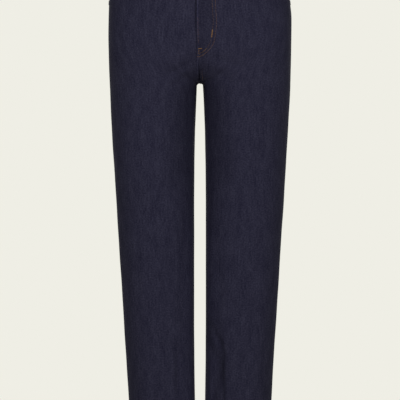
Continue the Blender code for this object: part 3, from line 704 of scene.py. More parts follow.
def band(distance, width, height):
    """Cloth raised by the seam allowance under it, from a seam to a width away."""
    return height * smooth_step(distance, 0.0, 0.0016) * fade(distance, width, width + 0.003)


def mouth_row():
    """The pocket mouth as a row of drops and rounds, from the waistband to the side seam."""
    rounds = SCOOP_START + (SIDE_SEAM - SCOOP_START) * np.linspace(0, 1, 60) ** 2
    return PANEL_TOP + scoop(rounds), rounds


def fly_reach(z):
    """How far from the middle the fly's outer row lies at some heights."""
    return straight_curve(FLY_OUTER_ROW, z, "across")


def front_relief(side, drops, rounds):
    """How far a front's face stands out: its seams, its pocket mouth and the plies of the fly."""
    drops, rounds = np.broadcast_arrays(drops, rounds)
    length = ring_length(drops)
    from_edge = rounds * length + side * past_middle(drops) - SEAM_GAP / 2
    rise = np.where(drops < 1, 1.0, 0.0)
    out = groove((SIDE_SEAM - rounds) * length, *SEAM_GROOVE)
    mouth = distance_to(np.column_stack(flat(*mouth_row())), *flat(drops, rounds))
    out = out + MOUTH_RAISED * fade(mouth, *MOUTH_PLIES) * (rounds > SCOOP_START - 0.03)
    valley = smooth_step(drops, 0.80, 0.94) * rise
    out = out + (1 - rise) * groove(from_edge, *SEAM_GROOVE) - valley * groove(from_edge, *CROTCH_RIDGE)
    if side == RIGHT:
        return out + rise * (1 - 0.6 * smooth_step(drops, 0.34, 0.48)) * groove(from_edge, *FOLD_GROOVE)
    x, _, z = np.moveaxis(at(side, drops, rounds), -1, 0)
    outer, inner = (distance_to(row, x, z) for row in (FLY_OUTER_ROW, FLY_INNER_ROW))
    within = (rise > 0) & (x < fly_reach(z)) & (z > FLY_OUTER_ROW[-1].height)
    lap = rise * fade(drops, 0.82, 0.94)
    out = out + lap * (0.0012 * np.where(within, smooth_step(outer, 0.0, 0.006), 0.0)
                       + 0.0009 * bell(from_edge - 0.0040, 0.0022)
                       - 0.0012 * fade(from_edge, -0.0005, 0.0026)
                       + 0.0006 * bell(from_edge, 0.010))
    out = out + lap * (groove(outer, *OUTER_ROW_GROOVE) + groove(inner, *ROW_GROOVE))
    return out + valley * groove(from_edge, *CROTCH_GROOVE)


def leg_painted_light(side, drops, rounds):
    """How much paler or darker a leg's face is painted: painted light towards the hips, painted shade
    towards the hems and at the side seams.
    """
    z = at(side, *np.broadcast_arrays(drops, rounds))[..., 2]
    from_side = np.abs(rounds - SIDE_SEAM) * ring_length(drops)
    # painted shade near the side seams, below the waistband
    side_shade = fade(from_side, 0.035, 0.080) * smooth_step(-z, 0.030, 0.090)
    # painted light towards the hips and painted shade towards the hems, with the painted shade at the side
    # seams
    return np.interp(z, *PAINTED_LIGHT_BY_HEIGHT) + PAINTED_SHADE_AT_SIDES * side_shade


def front_painted_light(side, drops, rounds):
    """How much paler or darker a front's face is painted, as light and shade: a painted highlight along the
    fly's fold, painted shade on its doubled plies, at the crotch, on the inner thighs and in a low fold, and
    painted light on the wearer's right thigh and at the inner edges below the knee.
    """
    x, _, z = np.moveaxis(at(side, *np.broadcast_arrays(drops, rounds)), -1, 0)
    painted_light = leg_painted_light(side, drops, rounds)
    # painted shade at the crotch and painted light on the wearer's right thigh
    for patch in PAINTED_PATCHES:
        far = ((x - patch.x) / patch.half_width) ** 2 + ((z - patch.z) / patch.half_height) ** 2
        painted_light = painted_light + patch.paler * np.exp(-far)
    # painted shade on the inner thighs between the legs, and painted light at the inner edges below the knee
    from_inseam = rounds * ring_length(drops)
    near = fade(from_inseam, 0.035, 0.070)
    inner_thigh_shade = (1 - near) * fade(from_inseam, 0.085, 0.130)
    inner_thigh_shade = inner_thigh_shade * smooth_step(z, -0.47, -0.40) * fade(z, -0.27, -0.22)
    painted_light = painted_light + PAINTED_SHADE_OF_THIGHS * inner_thigh_shade + PAINTED_LIGHT_OF_EDGES * near * fade(z, -0.57, -0.47)
    # a painted highlight along the fly's folded edge and the seam below it
    painted_lighting = 0.40 + 0.55 * smooth_step(z, -0.150, -0.115) + 0.30 * fade(z, -0.190, -0.180)
    painted_lighting = painted_lighting * smooth_step(z, -0.222, -0.208)
    painted_light = painted_light + painted_lighting * bell(x - HIGHLIGHT_AT, HIGHLIGHT_WIDTH)
    if side == RIGHT:
        return painted_light
    # painted shade on the doubled plies beside the fly, and in the low fold on the wearer's left leg
    lowest = FLY_OUTER_ROW[-1].height
    ply_shade = fade(x - fly_reach(z), -0.006, 0.002) * smooth_step(z, lowest, lowest + 0.012)
    return painted_light + PAINTED_SHADE_OF_PLIES * ply_shade + PAINTED_SHADE_OF_FOLD * bell(distance_to(SHIN_FOLD, x, z), FOLD_WIDTH)


def back_relief(side, drops, rounds):
    """How far a back's or a yoke's face stands out at its seams."""
    drops, rounds = np.broadcast_arrays(drops, rounds)
    length = ring_length(drops)
    from_seam = (1 - rounds) * length
    above = (yoke_seam(rounds) - drops) * BACK_RISE
    out = groove((rounds - SIDE_SEAM) * length, *SEAM_GROOVE) + groove(from_seam, 0.0008, 0.0016)
    out = out + groove(above, 0.0008, 0.0014) + band(above, 0.0095, 0.0006)
    rise = fade(drops, 0.98, 1.04)
    felled = band(from_seam, 0.0095, 0.0008) * (rise if side == LEFT else 0.0)
    return out + felled + band(from_seam, 0.0080, 0.0005) * (1 - rise)


# ---------------------------------------------------------------- materials


def linear(hex_colour):
    """An sRGB hex colour as linear red, green and blue."""
    parts = [int(hex_colour[i:i + 2], 16) / 255 for i in (1, 3, 5)]
    return tuple(c / 12.92 if c <= 0.04045 else ((c + 0.055) / 1.055) ** 2.4 for c in parts)


def add_node(tree, kind, links=None, **settings):
    """Adds a node, sets its properties and sockets, and links its inputs to other nodes' outputs."""
    node = tree.nodes.new(kind)
    for name, value in settings.items():
        if hasattr(node, name):
            setattr(node, name, value)
        else:
            socket = int(name[1:]) if name[0] == "_" else name.replace("_", " ")
            node.inputs[socket].default_value = value
    for name, source in (links or {}).items():
        tree.links.new(source, node.inputs[name])
    return node


def new_material(name, roughness, specular, metallic=0.0):
    """A node material with its shader's even values set."""
    finish = bpy.data.materials.new(name)
    finish.use_nodes = True
    shader = finish.node_tree.nodes["Principled BSDF"]
    shader.inputs["Roughness"].default_value = roughness
    shader.inputs["Specular IOR Level"].default_value = specular
    shader.inputs["Metallic"].default_value = metallic
    return finish, finish.node_tree, shader


def noise_on(tree, place, across, along, detail=1.5):
    """Noise on the cloth's own plane, with its grain sizes in metres across and along the warp."""
    scaled = add_node(tree, "ShaderNodeMapping", {"Vector": place}, Scale=(1 / across, 1 / along, 1))
    return add_node(tree, "ShaderNodeTexNoise", {"Vector": scaled.outputs[0]}, noise_dimensions="2D",
                    Scale=1.0, Detail=detail, Roughness=0.5).outputs["Fac"]


def blend(tree, factor, first, second):
    """A colour between two, by a factor that runs from 0 to 1."""
    return add_node(tree, "ShaderNodeMix", {"Factor": factor}, data_type="RGBA",
                    _6=(*first, 1), _7=(*second, 1)).outputs[2]


def weighted(tree, parts):
    """A sum of values, each by its weight."""
    total = None
    for value, weight in parts:
        links = {0: value} if total is None else {0: value, 2: total}
        total = add_node(tree, "ShaderNodeMath", links, operation="MULTIPLY_ADD",
                         _1=weight, _2=0.0).outputs[0]
    return total


def dress(tree, shader, colour, height, strength, distance):
    """Gives a shader its colour, and a relief by a height."""
    tree.links.new(colour, shader.inputs["Base Color"])
    relief = add_node(tree, "ShaderNodeBump", {"Height": height}, Strength=strength, Distance=distance)
    tree.links.new(relief.outputs[0], shader.inputs["Normal"])


def denim_material(name, dark, light, contrast):
    """Raw denim: warp-faced cotton twill, dull and hairy, with slubs where the yarn swells.

    Its yarns lie 0.4 mm apart and its twill lines 1.1 mm, too fine for a garment seen whole, so the specks
    of pale weft between them are drawn 3 mm wide. The slubs run 18 mm along the warp, and where the dye
    took unevenly the cloth is mottled in patches of 14 by 40 mm.
    """
    finish, tree, shader = new_material(name, roughness=0.90, specular=0.10)
    place = add_node(tree, "ShaderNodeUVMap", uv_map="cloth").outputs["UV"]
    specks = noise_on(tree, place, 0.0034, 0.0027)
    slubs = noise_on(tree, place, 0.0030, 0.018)
    mottle = noise_on(tree, place, 0.014, 0.040)
    parts = ((specks, 1.1), (slubs, 0.58), (mottle, 0.50))
    total = weighted(tree, parts)
    middle = sum(weight for _, weight in parts) / 2
    shade = add_node(tree, "ShaderNodeMapRange", {"Value": total},
                     From_Min=middle - contrast, From_Max=middle + contrast).outputs[0]
    # pale weft shows in few, bright specks and the indigo lies even between them
    shade = add_node(tree, "ShaderNodeMath", {0: shade}, operation="POWER", _1=1.5).outputs[0]
    # the colour is multiplied by one plus the light and shade painted on each piece's points
    painted_light_values = add_node(tree, "ShaderNodeAttribute", attribute_name="painted_light").outputs["Fac"]
    painted_lighting = add_node(tree, "ShaderNodeMath", {0: painted_light_values}, operation="ADD", _1=1.0).outputs[0]
    tint = add_node(tree, "ShaderNodeMix", {6: blend(tree, shade, dark, light), 7: painted_lighting},
                    data_type="RGBA", blend_type="MULTIPLY", _0=1.0)
    dress(tree, shader, tint.outputs[2], total, strength=0.5, distance=0.0006)
    return finish


def plain_cloth_material(name, dark, light):
    """Light cotton twill or tape: even and matt, with a grain of 1.5 mm, coarser than its 0.3 mm yarns."""
    finish, tree, shader = new_material(name, roughness=0.9, specular=0.2)
    place = add_node(tree, "ShaderNodeUVMap", uv_map="cloth").outputs["UV"]
    grain = noise_on(tree, place, 0.0015, 0.0015)
    dress(tree, shader, blend(tree, grain, dark, light), grain, strength=0.3, distance=0.0003)
    return finish


def solid_material(name, dark, light, grain, roughness=0.8, specular=0.2, metallic=0.0):
    """Thread or metal: mottled by noise with a grain size in metres, which also gives a slight relief."""
    finish, tree, shader = new_material(name, roughness, specular, metallic)
    place = add_node(tree, "ShaderNodeTexCoord").outputs["Object"]
    mottle = add_node(tree, "ShaderNodeTexNoise", {"Vector": place},
                      Scale=1 / grain, Detail=3.0).outputs["Fac"]
    dress(tree, shader, blend(tree, mottle, dark, light), mottle, strength=0.2, distance=0.0001)
    return finish


@lru_cache(maxsize=None)
def finish_of(slot):
    """A finish by its name."""
    looks = bpy.context.scene.jeans_looks
    if slot == "denim":
        return denim_material("raw_indigo_denim", looks.denim_dark, looks.denim_light, contrast=0.74)
    if slot == "wrong_side":
        # undyed weft covers most of the back of the cloth, so it is grey-blue and pale
        return denim_material("denim_wrong_side", looks.weft_dark, looks.weft_light, contrast=0.70)
    if slot == "pocket_twill":
        return plain_cloth_material("undyed_pocket_twill", linear("#b3ae9e"), linear("#dbd7cb"))
    if slot == "zip_tape":
        return plain_cloth_material("navy_zip_tape", linear("#101018"), linear("#22222e"))
    if slot == "thread":
        # cotton-wrapped and matt: the pale core shows beside the tobacco wrapping from stitch to stitch
        return solid_material("tobacco_cotton_thread", looks.thread, looks.thread_core, grain=0.0034)
    if slot == "navy_thread":
        return solid_material("navy_cotton_thread", linear("#1b1a26"), linear("#302e40"), grain=0.0020)
    # plated, then tumbled: soft highlights, brighter where the plating is rubbed
    return solid_material("tumbled_copper_plate", [c * 0.7 for c in looks.copper],
                          [c * 1.25 for c in looks.copper], grain=0.0022, roughness=0.36, specular=0.5,
                          metallic=1.0)


# ---------------------------------------------------------------- making pieces


def add_object(name, mesh, nodes=()):
    """Links a piece, makes it ride on the garment and hides the solids that it stands for."""
    made = bpy.data.objects.new(name, mesh)
    bpy.context.scene.collection.objects.link(made)
    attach(made, "root")
    if nodes:
        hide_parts(*nodes)
    return made


def cloth(name, node, side, drops, rounds, out=0.0, thickness=DENIM, slot="denim", inner="wrong_side",
          outer=None, hole=None, closed=False, grain=0.0,
          turned=False, painted_light=0.0):
    """A cloth wall with rounded edges over a grid of drops and rounds.

    out is how far its outer face lies from the surface. hole is a pair of slices of cells left out, and
    closed joins the last column to the first. The warp runs down at the round that grain gives, or
    along the piece if it is turned. The last argument is the light and shade painted on its face, as how
    much paler it is.
    """
    drops, rounds = np.broadcast_arrays(np.asarray(drops, float), np.asarray(rounds, float))
    rows, width = drops.shape
    count = rows * width
    outside = at(side, drops, rounds, out).reshape(-1, 3)
    inside = at(side, drops, rounds, np.asarray(out) - thickness).reshape(-1, 3)
    keep = np.ones((rows - 1, width if closed else width - 1), bool)
    if hole:
        keep[hole] = False
    i, j = np.nonzero(keep)
    corners = [(i, j), (i, j + 1), (i + 1, j + 1), (i + 1, j)]
    quads = np.column_stack([a * width + b % width for a, b in corners])
    laid = np.column_stack([a * (width + 1) + b for a, b in corners])
    middle = quads[len(quads) // 2]
    normal = np.cross(outside[middle[1]] - outside[middle[0]], outside[middle[3]] - outside[middle[0]])
    if normal @ (outside[middle[0]] - inside[middle[0]]) < 0:
        quads, laid = quads[:, ::-1], laid[:, ::-1]
    edges = np.stack((quads, np.roll(quads, -1, axis=1), laid, np.roll(laid, -1, axis=1))).reshape(4, -1)
    edges = edges[:, ~np.isin(edges[0] * count + edges[1], edges[1] * count + edges[0])]
    a, b, a_laid, b_laid = edges[:, np.argsort(edges[0])]
    before = a[np.argsort(b)]
    centre = (outside + inside) / 2
    aside = np.cross(centre[b] - centre[before], outside[a] - inside[a])
    aside /= np.maximum(np.linalg.norm(aside, axis=1, keepdims=True), 1e-12)
    points = np.vstack((outside, inside, centre[a] + aside * thickness * 0.35))
    rim_a = 2 * count + np.arange(len(a))
    rim_b = 2 * count + np.searchsorted(a, b)
    faces = np.vstack((quads, quads[:, ::-1] + count, np.column_stack((b, a, rim_a, rim_b)),
                       np.column_stack((rim_b, rim_a, a + count, b + count))))
    mesh = bpy.data.meshes.new(name)
    mesh.from_pydata(points.tolist(), [], faces.tolist())
    wide_rounds = np.column_stack((rounds, 2 * rounds[:, -1] - rounds[:, -2]))
    u, v = flat(np.column_stack((drops, drops[:, -1])), wide_rounds, grain)
    u = u + (0.0 if side == LEFT else CLOTH_APART)
    where = np.column_stack((v.reshape(-1), u.reshape(-1)) if turned else (u.reshape(-1), v.reshape(-1)))
    along_rim = np.column_stack((b_laid, a_laid, a_laid, b_laid))
    picked = np.vstack((laid, laid[:, ::-1], along_rim, along_rim[:, ::-1])).reshape(-1)
    layer = mesh.uv_layers.new(name="cloth")
    layer.uv.foreach_set("vector", where[picked].astype(np.float32).reshape(-1))
    # painted light and shade on each point, paler above 0 and darker below, which the denim's colour is
    # multiplied by
    painted_lighting = mesh.attributes.new("painted_light", "FLOAT", "POINT")
    painted_light_values = np.zeros(len(points), np.float32)
    painted_light_values[:count] = np.broadcast_to(painted_light, drops.shape).reshape(-1)
    painted_light_values[2 * count:] = painted_light_values[a]
    painted_lighting.data.foreach_set("value", painted_light_values)
    mesh.materials.append(finish_of(outer or slot))
    mesh.materials.append(finish_of(inner if slot == "denim" else slot))
    marks = np.zeros(len(faces), np.int32)
    marks[len(quads):2 * len(quads)] = 1
    mesh.polygons.foreach_set("material_index", marks)
    mesh.shade_smooth()
    mesh.update()
    made = add_object(name, mesh, (node,))
    grid = outside.reshape(rows, width, 3)
    if closed:
        grid = np.concatenate((grid, grid[:, :1]), axis=1)


def spread(*stops):
    """Values from each stop to the next, given as (value, steps to the next one), ..., last value."""
    ends = [stop[0] for stop in stops[1:-1]] + [stops[-1]]
    values = [[stops[0][0]]]
    for (start, steps), end in zip(stops[:-1], ends):
        values.append(np.linspace(start, end, steps + 1)[1:])
    return np.concatenate(values)


LEVELS = np.concatenate((np.linspace(0, 1, 76), 1 + (np.arange(1, 186) / 185) ** 1.5))


def panel_drops(columns, top):
    """Drops of a panel's rows at its columns. Its rise rows are spread from its upper edge to the crotch."""
    levels = LEVELS[:, None]
    tops = top(columns)[None, :]
    return np.where(levels > 1, levels, tops + (1 - tops) * levels)


def seam_columns(drops, columns, inner, outer):
    """Rounds of a panel's columns, kept between the rounds of its two seams."""
    low, high = columns[0], columns[-1]
    share = (columns - low) / (high - low)
    return columns + (inner - low) * bell(share, 0.12) + (outer - high) * bell(1 - share, 0.12)


class JEANS_OT_fronts(Operator):
    """Sew the two fronts, from the waistband and the pocket mouths to the hems"""
    bl_idname = "jeans.fronts"
    bl_label = "Fronts"

    def execute(self, context):
        columns = spread((0.0, 18), (0.018, 36), (0.09, 34), (0.26, 14), (0.30, 30), (0.455, 12), SIDE_SEAM)
        for word, side in SIDES:
            drops = panel_drops(columns, lambda r: PANEL_TOP + scoop(r))
            length = ring_length(drops)
            start = (SEAM_GAP / 2 - side * past_middle(drops)) / length
            rounds = seam_columns(drops, columns, start, SIDE_SEAM - SEAM_GAP / 2 / length)
            cloth(f"{word}_front_panel", f"front_{word}", side, drops, rounds,
                  front_relief(side, drops, rounds), grain=FRONT_GRAIN, painted_light=front_painted_light(side, drops, rounds))
        return {"FINISHED"}


class JEANS_OT_backs(Operator):
    """Sew the two backs, from the yoke to the hems, and the two yokes"""
    bl_idname = "jeans.backs"
    bl_label = "Backs and yokes"

    def execute(self, context):
        columns = spread((SIDE_SEAM, 10), (0.495, 78), (0.955, 22), 1.0)
        for word, side in SIDES:
            for part, node, drops in (
                    ("back_panel", "back", panel_drops(columns, lambda r: yoke_seam(r) + 0.0008)),
                    ("yoke", "yoke", PANEL_TOP + (yoke_seam(columns) - 0.0008 - PANEL_TOP)
                     * np.linspace(0, 1, 26)[:, None])):
                gap = SEAM_GAP / 2 / ring_length(drops)
                rounds = seam_columns(drops, columns, SIDE_SEAM + gap, 1 - gap)
                cloth(f"{word}_{part}", f"{node}_{word}", side, drops, rounds,
                      back_relief(side, drops, rounds), grain=BACK_GRAIN,
                      painted_light=leg_painted_light(side, drops, rounds))
        return {"FINISHED"}


class JEANS_OT_hems(Operator):
    """Turn the bottoms of the legs up inside"""
    bl_idname = "jeans.hems"
    bl_label = "Hems"

    def execute(self, context):
        drops = np.linspace(HEM_TURN, 2.0, 9)[:, None]
        for word, side in SIDES:
            cloth(f"{word}_hem_turn_up", f"hem_turn_up_{word}", side, drops,
                  np.linspace(0, 1, 161)[None, :-1], INNER_FACE, outer="wrong_side", inner="denim",
                  closed=True)
        return {"FINISHED"}


def behind_mouth(start, steps, rows, deep):
    """Drops and rounds of a piece behind a pocket's mouth. deep is its share of the way to the crotch."""
    columns = spread((start, steps), SIDE_SEAM - 0.001)
    tops = PANEL_TOP + scoop(columns)
    low = tops + (1 - tops) * deep(columns)
    return PANEL_TOP + (low - PANEL_TOP) * np.linspace(0, 1, rows)[:, None], columns


class JEANS_OT_front_pockets(Operator):
    """Sew the facing and the bag behind each front pocket's mouth"""
    bl_idname = "jeans.front_pockets"
    bl_label = "Front pockets"

    def execute(self, context):
        for word, side in SIDES:
            drops, rounds = behind_mouth(FACING_START, 30, 24, lambda r: FACING_DEEP)
            cloth(f"{word}_pocket_facing", f"pocket_facing_{word}", side, drops, rounds,
                  INNER_FACE, grain=FRONT_GRAIN)
            drops, rounds = behind_mouth(BAG_START, 36, 40, lambda r: BAG_DEEP - BAG_CORNER
                                         * fade(r, BAG_START, FACING_START))
            cloth(f"{word}_pocket_bag", f"pocket_bag_{word}", side, drops, rounds,
                  2 * INNER_FACE, 2 * BAG_CLOTH, "pocket_twill")
        return {"FINISHED"}


def pocket_place(down, across):
    """Drops and rounds on a back pocket, from 0 at its mouth to 1 at its bottom and -1 to 1 across it."""
    down, across = np.broadcast_arrays(down, across)
    start, end = (mouth + (foot - mouth) * down for mouth, foot in zip(POCKET_MOUTH, POCKET_FOOT))
    rounds = start + (end - start) * (across + 1) / 2
    seam = [at(LEFT, yoke_seam(stop), stop)[2] - POCKET_BELOW_YOKE for stop in POCKET_MOUTH]
    top = seam[0] + (seam[1] - seam[0]) * (across + 1) / 2
    return drops_at(top - (POCKET_SIDE + POCKET_POINT * (1 - np.abs(across))) * down, rounds), rounds


def pocket_outline(inset):
    """A back pocket's sides and bottom, as places at an inset in metres from its edge."""
    side = 1 - inset / POCKET_HALF
    foot = 1 - inset / POCKET_DEEP
    down = np.linspace(0.004 / POCKET_DEEP, foot, 24)
    across = np.linspace(-side, side, 41)[1:-1]
    places = [pocket_place(down, np.full(24, -side)), pocket_place(np.full(39, foot), across),
              pocket_place(down[::-1], np.full(24, side))]
    return tuple(np.concatenate([place[k] for place in places]) for k in (0, 1))


def pocket_relief(down, across):
    """How far a back pocket's face stands out: a turned edge, a hemmed mouth that gapes a little."""
    edge = np.minimum((1 - np.abs(across)) * POCKET_HALF, (1 - down) * POCKET_DEEP)
    plump = 0.0006 * smooth_step(edge, 0.0, 0.03)
    hem = 0.0006 * fade(down * POCKET_DEEP, 0.013, 0.017)
    gape = 0.0020 * fade(down, 0.0, 0.30) * np.cos(np.clip(across, -1, 1) * math.pi / 2)
    turned = 0.0005 * fade(edge, 0.009, 0.012)
    rows = sum(groove(edge - margin, *ROW_GROOVE) for margin in POCKET_ROWS)
    return POCKET_LIFT + DENIM + plump + hem + gape + turned + rows


class JEANS_OT_back_pockets(Operator):
    """Sew the two plain patch pockets on the seat"""
    bl_idname = "jeans.back_pockets"
    bl_label = "Back pockets"

    def execute(self, context):
        down = np.linspace(0, 1, 76)[:, None]
        across = np.linspace(-1, 1, 81)[None, :]
        for word, side in SIDES:
            drops, rounds = pocket_place(down, across)
            cloth(f"{word}_back_pocket", f"back_pocket_{word}", side, drops, rounds,
                  pocket_relief(down, across), grain=POCKET_GRAIN)
        return {"FINISHED"}


def fly_drops(bottom, rows):
    """Drops down the centre front, from the panels' top to a height."""
    return np.linspace(PANEL_TOP, front_drop(bottom), rows)


class JEANS_OT_fly(Operator):
    """Sew the fly's facing, its shield and the zip's tape and teeth"""
    bl_idname = "jeans.fly"
    bl_label = "Fly"

    def execute(self, context):
        drops = fly_drops(FLY_BOTTOM, 60)
        heights = np.interp(drops, *front_seam())
        start = 0.0010 - past_middle(drops)
        sunk = np.clip((FLY_BEND - heights) / (FLY_BEND - FLY_BOTTOM), 0.0, 0.97)
        end = start + (FLY_WIDTH - start) * np.sqrt(1 - sunk**2)
        share = np.linspace(0, 1, 19)[None, :]
        length = ring_length(drops)[:, None]
        rounds = (start[:, None] + (end - start)[:, None] * share) / length
        cloth("fly_facing_strip", "fly_facing", LEFT, drops[:, None], rounds, INNER_FACE,
              outer="wrong_side", inner="denim")
        drops = fly_drops(ZIP_BOTTOM, 56)
        across = np.linspace(ZIP_MIDDLE - ZIP_HALF_WIDTH, ZIP_MIDDLE + ZIP_HALF_WIDTH, 17)[None, :]
        out = np.interp(across, (2 * ZIP_MIDDLE, ZIP_MIDDLE + ZIP_HALF_WIDTH), (TAPE_FACE, SLIDER_FACE))
        cloth("zip_tape_strip", "zip_tape", LEFT, drops[:, None], across / ring_length(drops)[:, None], out,
              2 * BAG_CLOTH, "zip_tape")
        drops = fly_drops(SHIELD_BOTTOM, 56)
        across = np.linspace(SHIELD_SEWN, SHIELD_FREE, 31)[None, :]
        out = np.interp(across, (SHIELD_SEWN, ZIP_MIDDLE - ZIP_HALF_WIDTH - 0.002),
                        (INNER_FACE - PLY_GAP / 2, SHIELD_FACE))
        cloth("fly_shield_flap", "fly_shield", LEFT, drops[:, None], across / ring_length(drops)[:, None],
              out, inner="denim")
        drops = front_drop(np.arange(ZIP_BOTTOM + 0.004, -0.052, TOOTH_PITCH))
        length = ring_length(drops)
        for k, way in enumerate((-1, 1)):
            middle = (ZIP_MIDDLE + way * TOOTH_ASIDE) / length
            ends = [at(LEFT, drops + k * TOOTH_SHIFT, middle + end * TOOTH_HALF_WIDTH / length,
                       TAPE_FACE + 0.0003) for end in (-1, 1)]
            threads(f"zip_teeth_{k}", np.stack(ends, 1), outward(LEFT, drops, middle), TOOTH_RADIUS,
                    "copper")
        return {"FINISHED"}


def band_out(rounds):
    """How far the waistband's face stands out: its right end dips under its left end."""
    lap = BAND_LAP / ring_length(0.0)
    start = 2 - lap - BAND_RAMP / ring_length(0.0)
    end = 2 - lap - BAND_RAMP_CLEAR / ring_length(0.0)
    return np.interp(rounds, (start, end), (BAND_OUT, -BAND_IN - PLY_GAP))


class JEANS_OT_waistband(Operator):
    """Sew the folded waistband, which laps left over right"""
    bl_idname = "jeans.waistband"
    bl_label = "Waistband"

    def execute(self, context):
        length = float(ring_length(0.0))
        rounds = spread((-BAND_LAP / length, 5), (HOLE_START / length, 7), (HOLE_END / length, 380),
                        2 + BAND_UNDERLAP / length)
        drops = spread((-0.001, 8), (HOLE_BOTTOM, 2), (HOLE_TOP, 8), BAND_DROP)
        share = (drops + 0.001) / (BAND_DROP + 0.001)
        edge = np.minimum(share, 1 - share) * BAND_HEIGHT
        out = 0.0005 * smooth_step(edge, 0.0, 0.004) + groove(edge - 0.0024, 0.0005, 0.0013)
        cloth("waistband_strip", "waistband", LEFT, drops[:, None], rounds[None, :],
              band_out(rounds)[None, :] + out[:, None], BAND_OUT + BAND_IN, inner="denim",
              hole=(slice(8, 10), slice(5, 12)), turned=True)
        return {"FINISHED"}


def loop_out(drops):
    """How far a belt loop's inner face stands out."""
    return np.interp(drops, *zip(*LOOP_STATIONS))


def loop_face(drops):
    """How far its outer face stands out, smoothed along a row of drops."""
    padded = np.pad(loop_out(drops), 4, mode="edge")
    return np.convolve(padded, np.full(9, 1 / 9), mode="valid") + LOOP_THICKNESS


class JEANS_OT_belt_loops(Operator):
    """Sew the five belt loops"""
    bl_idname = "jeans.belt_loops"
    bl_label = "Belt loops"

    def execute(self, context):
        drops = np.linspace(LOOP_STATIONS[0].drop, LOOP_STATIONS[-1].drop, 61)
        share = np.linspace(-1, 1, 9)[None, :]
        folds = 0.0003 * bell(np.abs(share) - 0.55, 0.25)
        for loop in BELT_LOOPS:
            rounds = loop.round + share * LOOP_WIDTH / 2 / ring_length(0.0)
            cloth(f"{loop.node}_strap", loop.node, loop.side, drops[:, None], rounds,
                  loop_face(drops)[:, None] + folds, LOOP_THICKNESS, inner="denim")
        return {"FINISHED"}


def deselect():
    """Leaves nothing selected."""
    bpy.ops.object.select_all(action="DESELECT")


def start_piece(name, add, **settings):
    """Adds a primitive as the start of a hard piece."""
    deselect()
    add(**settings)
    made = bpy.context.object
    made.name = name
    made.data.name = name
    return made


def edit(made, moves):
    """Works through edit-mode steps. Each has a test of face centre and normal, and what to do."""
    for test, act in moves:
        bpy.ops.object.mode_set(mode="OBJECT")
        for face in made.data.polygons:
            face.select = test(face.center, face.normal)
        bpy.ops.object.mode_set(mode="EDIT")
        bpy.ops.mesh.select_mode(type="FACE")
        act()
    bpy.ops.object.mode_set(mode="OBJECT")


def inset(thickness):
    """An edit-mode step that insets the selected faces."""
    return lambda: bpy.ops.mesh.inset(thickness=thickness)


def shift(*way):
    """An edit-mode step that moves the selected faces."""
    return lambda: bpy.ops.transform.translate(value=way)


def resize(*factors):
    """An edit-mode step that resizes the selected faces."""
    return lambda: bpy.ops.transform.resize(value=factors)


def extrude(*way):
    """An edit-mode step that extrudes the selected faces."""
    return lambda: bpy.ops.mesh.extrude_region_move(TRANSFORM_OT_translate={"value": way})


def finish_piece(made, place, turn, bevel, nodes):
    """Rounds a hard piece's edges, puts its place in its mesh and gives it its metal."""
    rounding = made.modifiers.new("rounding", "BEVEL")
    rounding.width = bevel
    rounding.segments = 3
    rounding.limit_method = "ANGLE"
    rounding.angle_limit = math.radians(35)
    deselect()
    made.select_set(True)
    bpy.context.view_layer.objects.active = made
    bpy.ops.object.modifier_apply(modifier="rounding")
    made.matrix_world = Matrix.Translation(place) @ turn
    bpy.ops.object.transform_apply(location=True, rotation=True, scale=True)
    bpy.ops.object.shade_smooth_by_angle(angle=math.radians(40))
    made.data.materials.clear()
    made.data.materials.append(finish_of("copper"))
    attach(made, "root")
    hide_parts(*nodes)


def facing_out(drop, distance, out):
    """A place on the centre front and the turn that points Z outwards and Y up there."""
    round_ = distance / float(ring_length(drop))
    normal = Vector(outward(LEFT, drop, round_))
    up = Vector((0, 0, 1)) - normal * normal.z
    across = up.cross(normal)
    turn = Matrix((across.normalized(), up.normalized(), normal)).transposed().to_4x4()
    return Vector(at(LEFT, drop, round_, out)), turn


class JEANS_OT_button(Operator):
    """Model the shank button"""
    bl_idname = "jeans.button"
    bl_label = "Button"

    def execute(self, context):
        made = start_piece("shank_button", bpy.ops.mesh.primitive_cylinder_add, vertices=40,
                           radius=0.0080, depth=0.0022, location=(0, 0, 0.0013), end_fill_type="NGON")
        middle = (lambda c, n: n.z > 0.9 and c.xy.length < 0.001)
        edit(made, (
            (lambda c, n: n.z > 0.9, inset(0.0016)),
            (middle, shift(0, 0, -0.0006)),
            (middle, inset(0.0012)),
            (middle, shift(0, 0, 0.0006)),
            (middle, inset(0.0022)),
            (middle, shift(0, 0, 0.0003)),
            (lambda c, n: n.z < -0.9, inset(0.0060)),
            (lambda c, n: n.z < -0.9 and c.xy.length < 0.001, extrude(0, 0, -0.0034)),
        ))
        place, turn = facing_out((HOLE_BOTTOM + HOLE_TOP) / 2, (HOLE_START + HOLE_END) / 2,
                                 BAND_OUT + PLY_GAP)
        finish_piece(made, place, turn, 0.0003, ("button",))
        return {"FINISHED"}


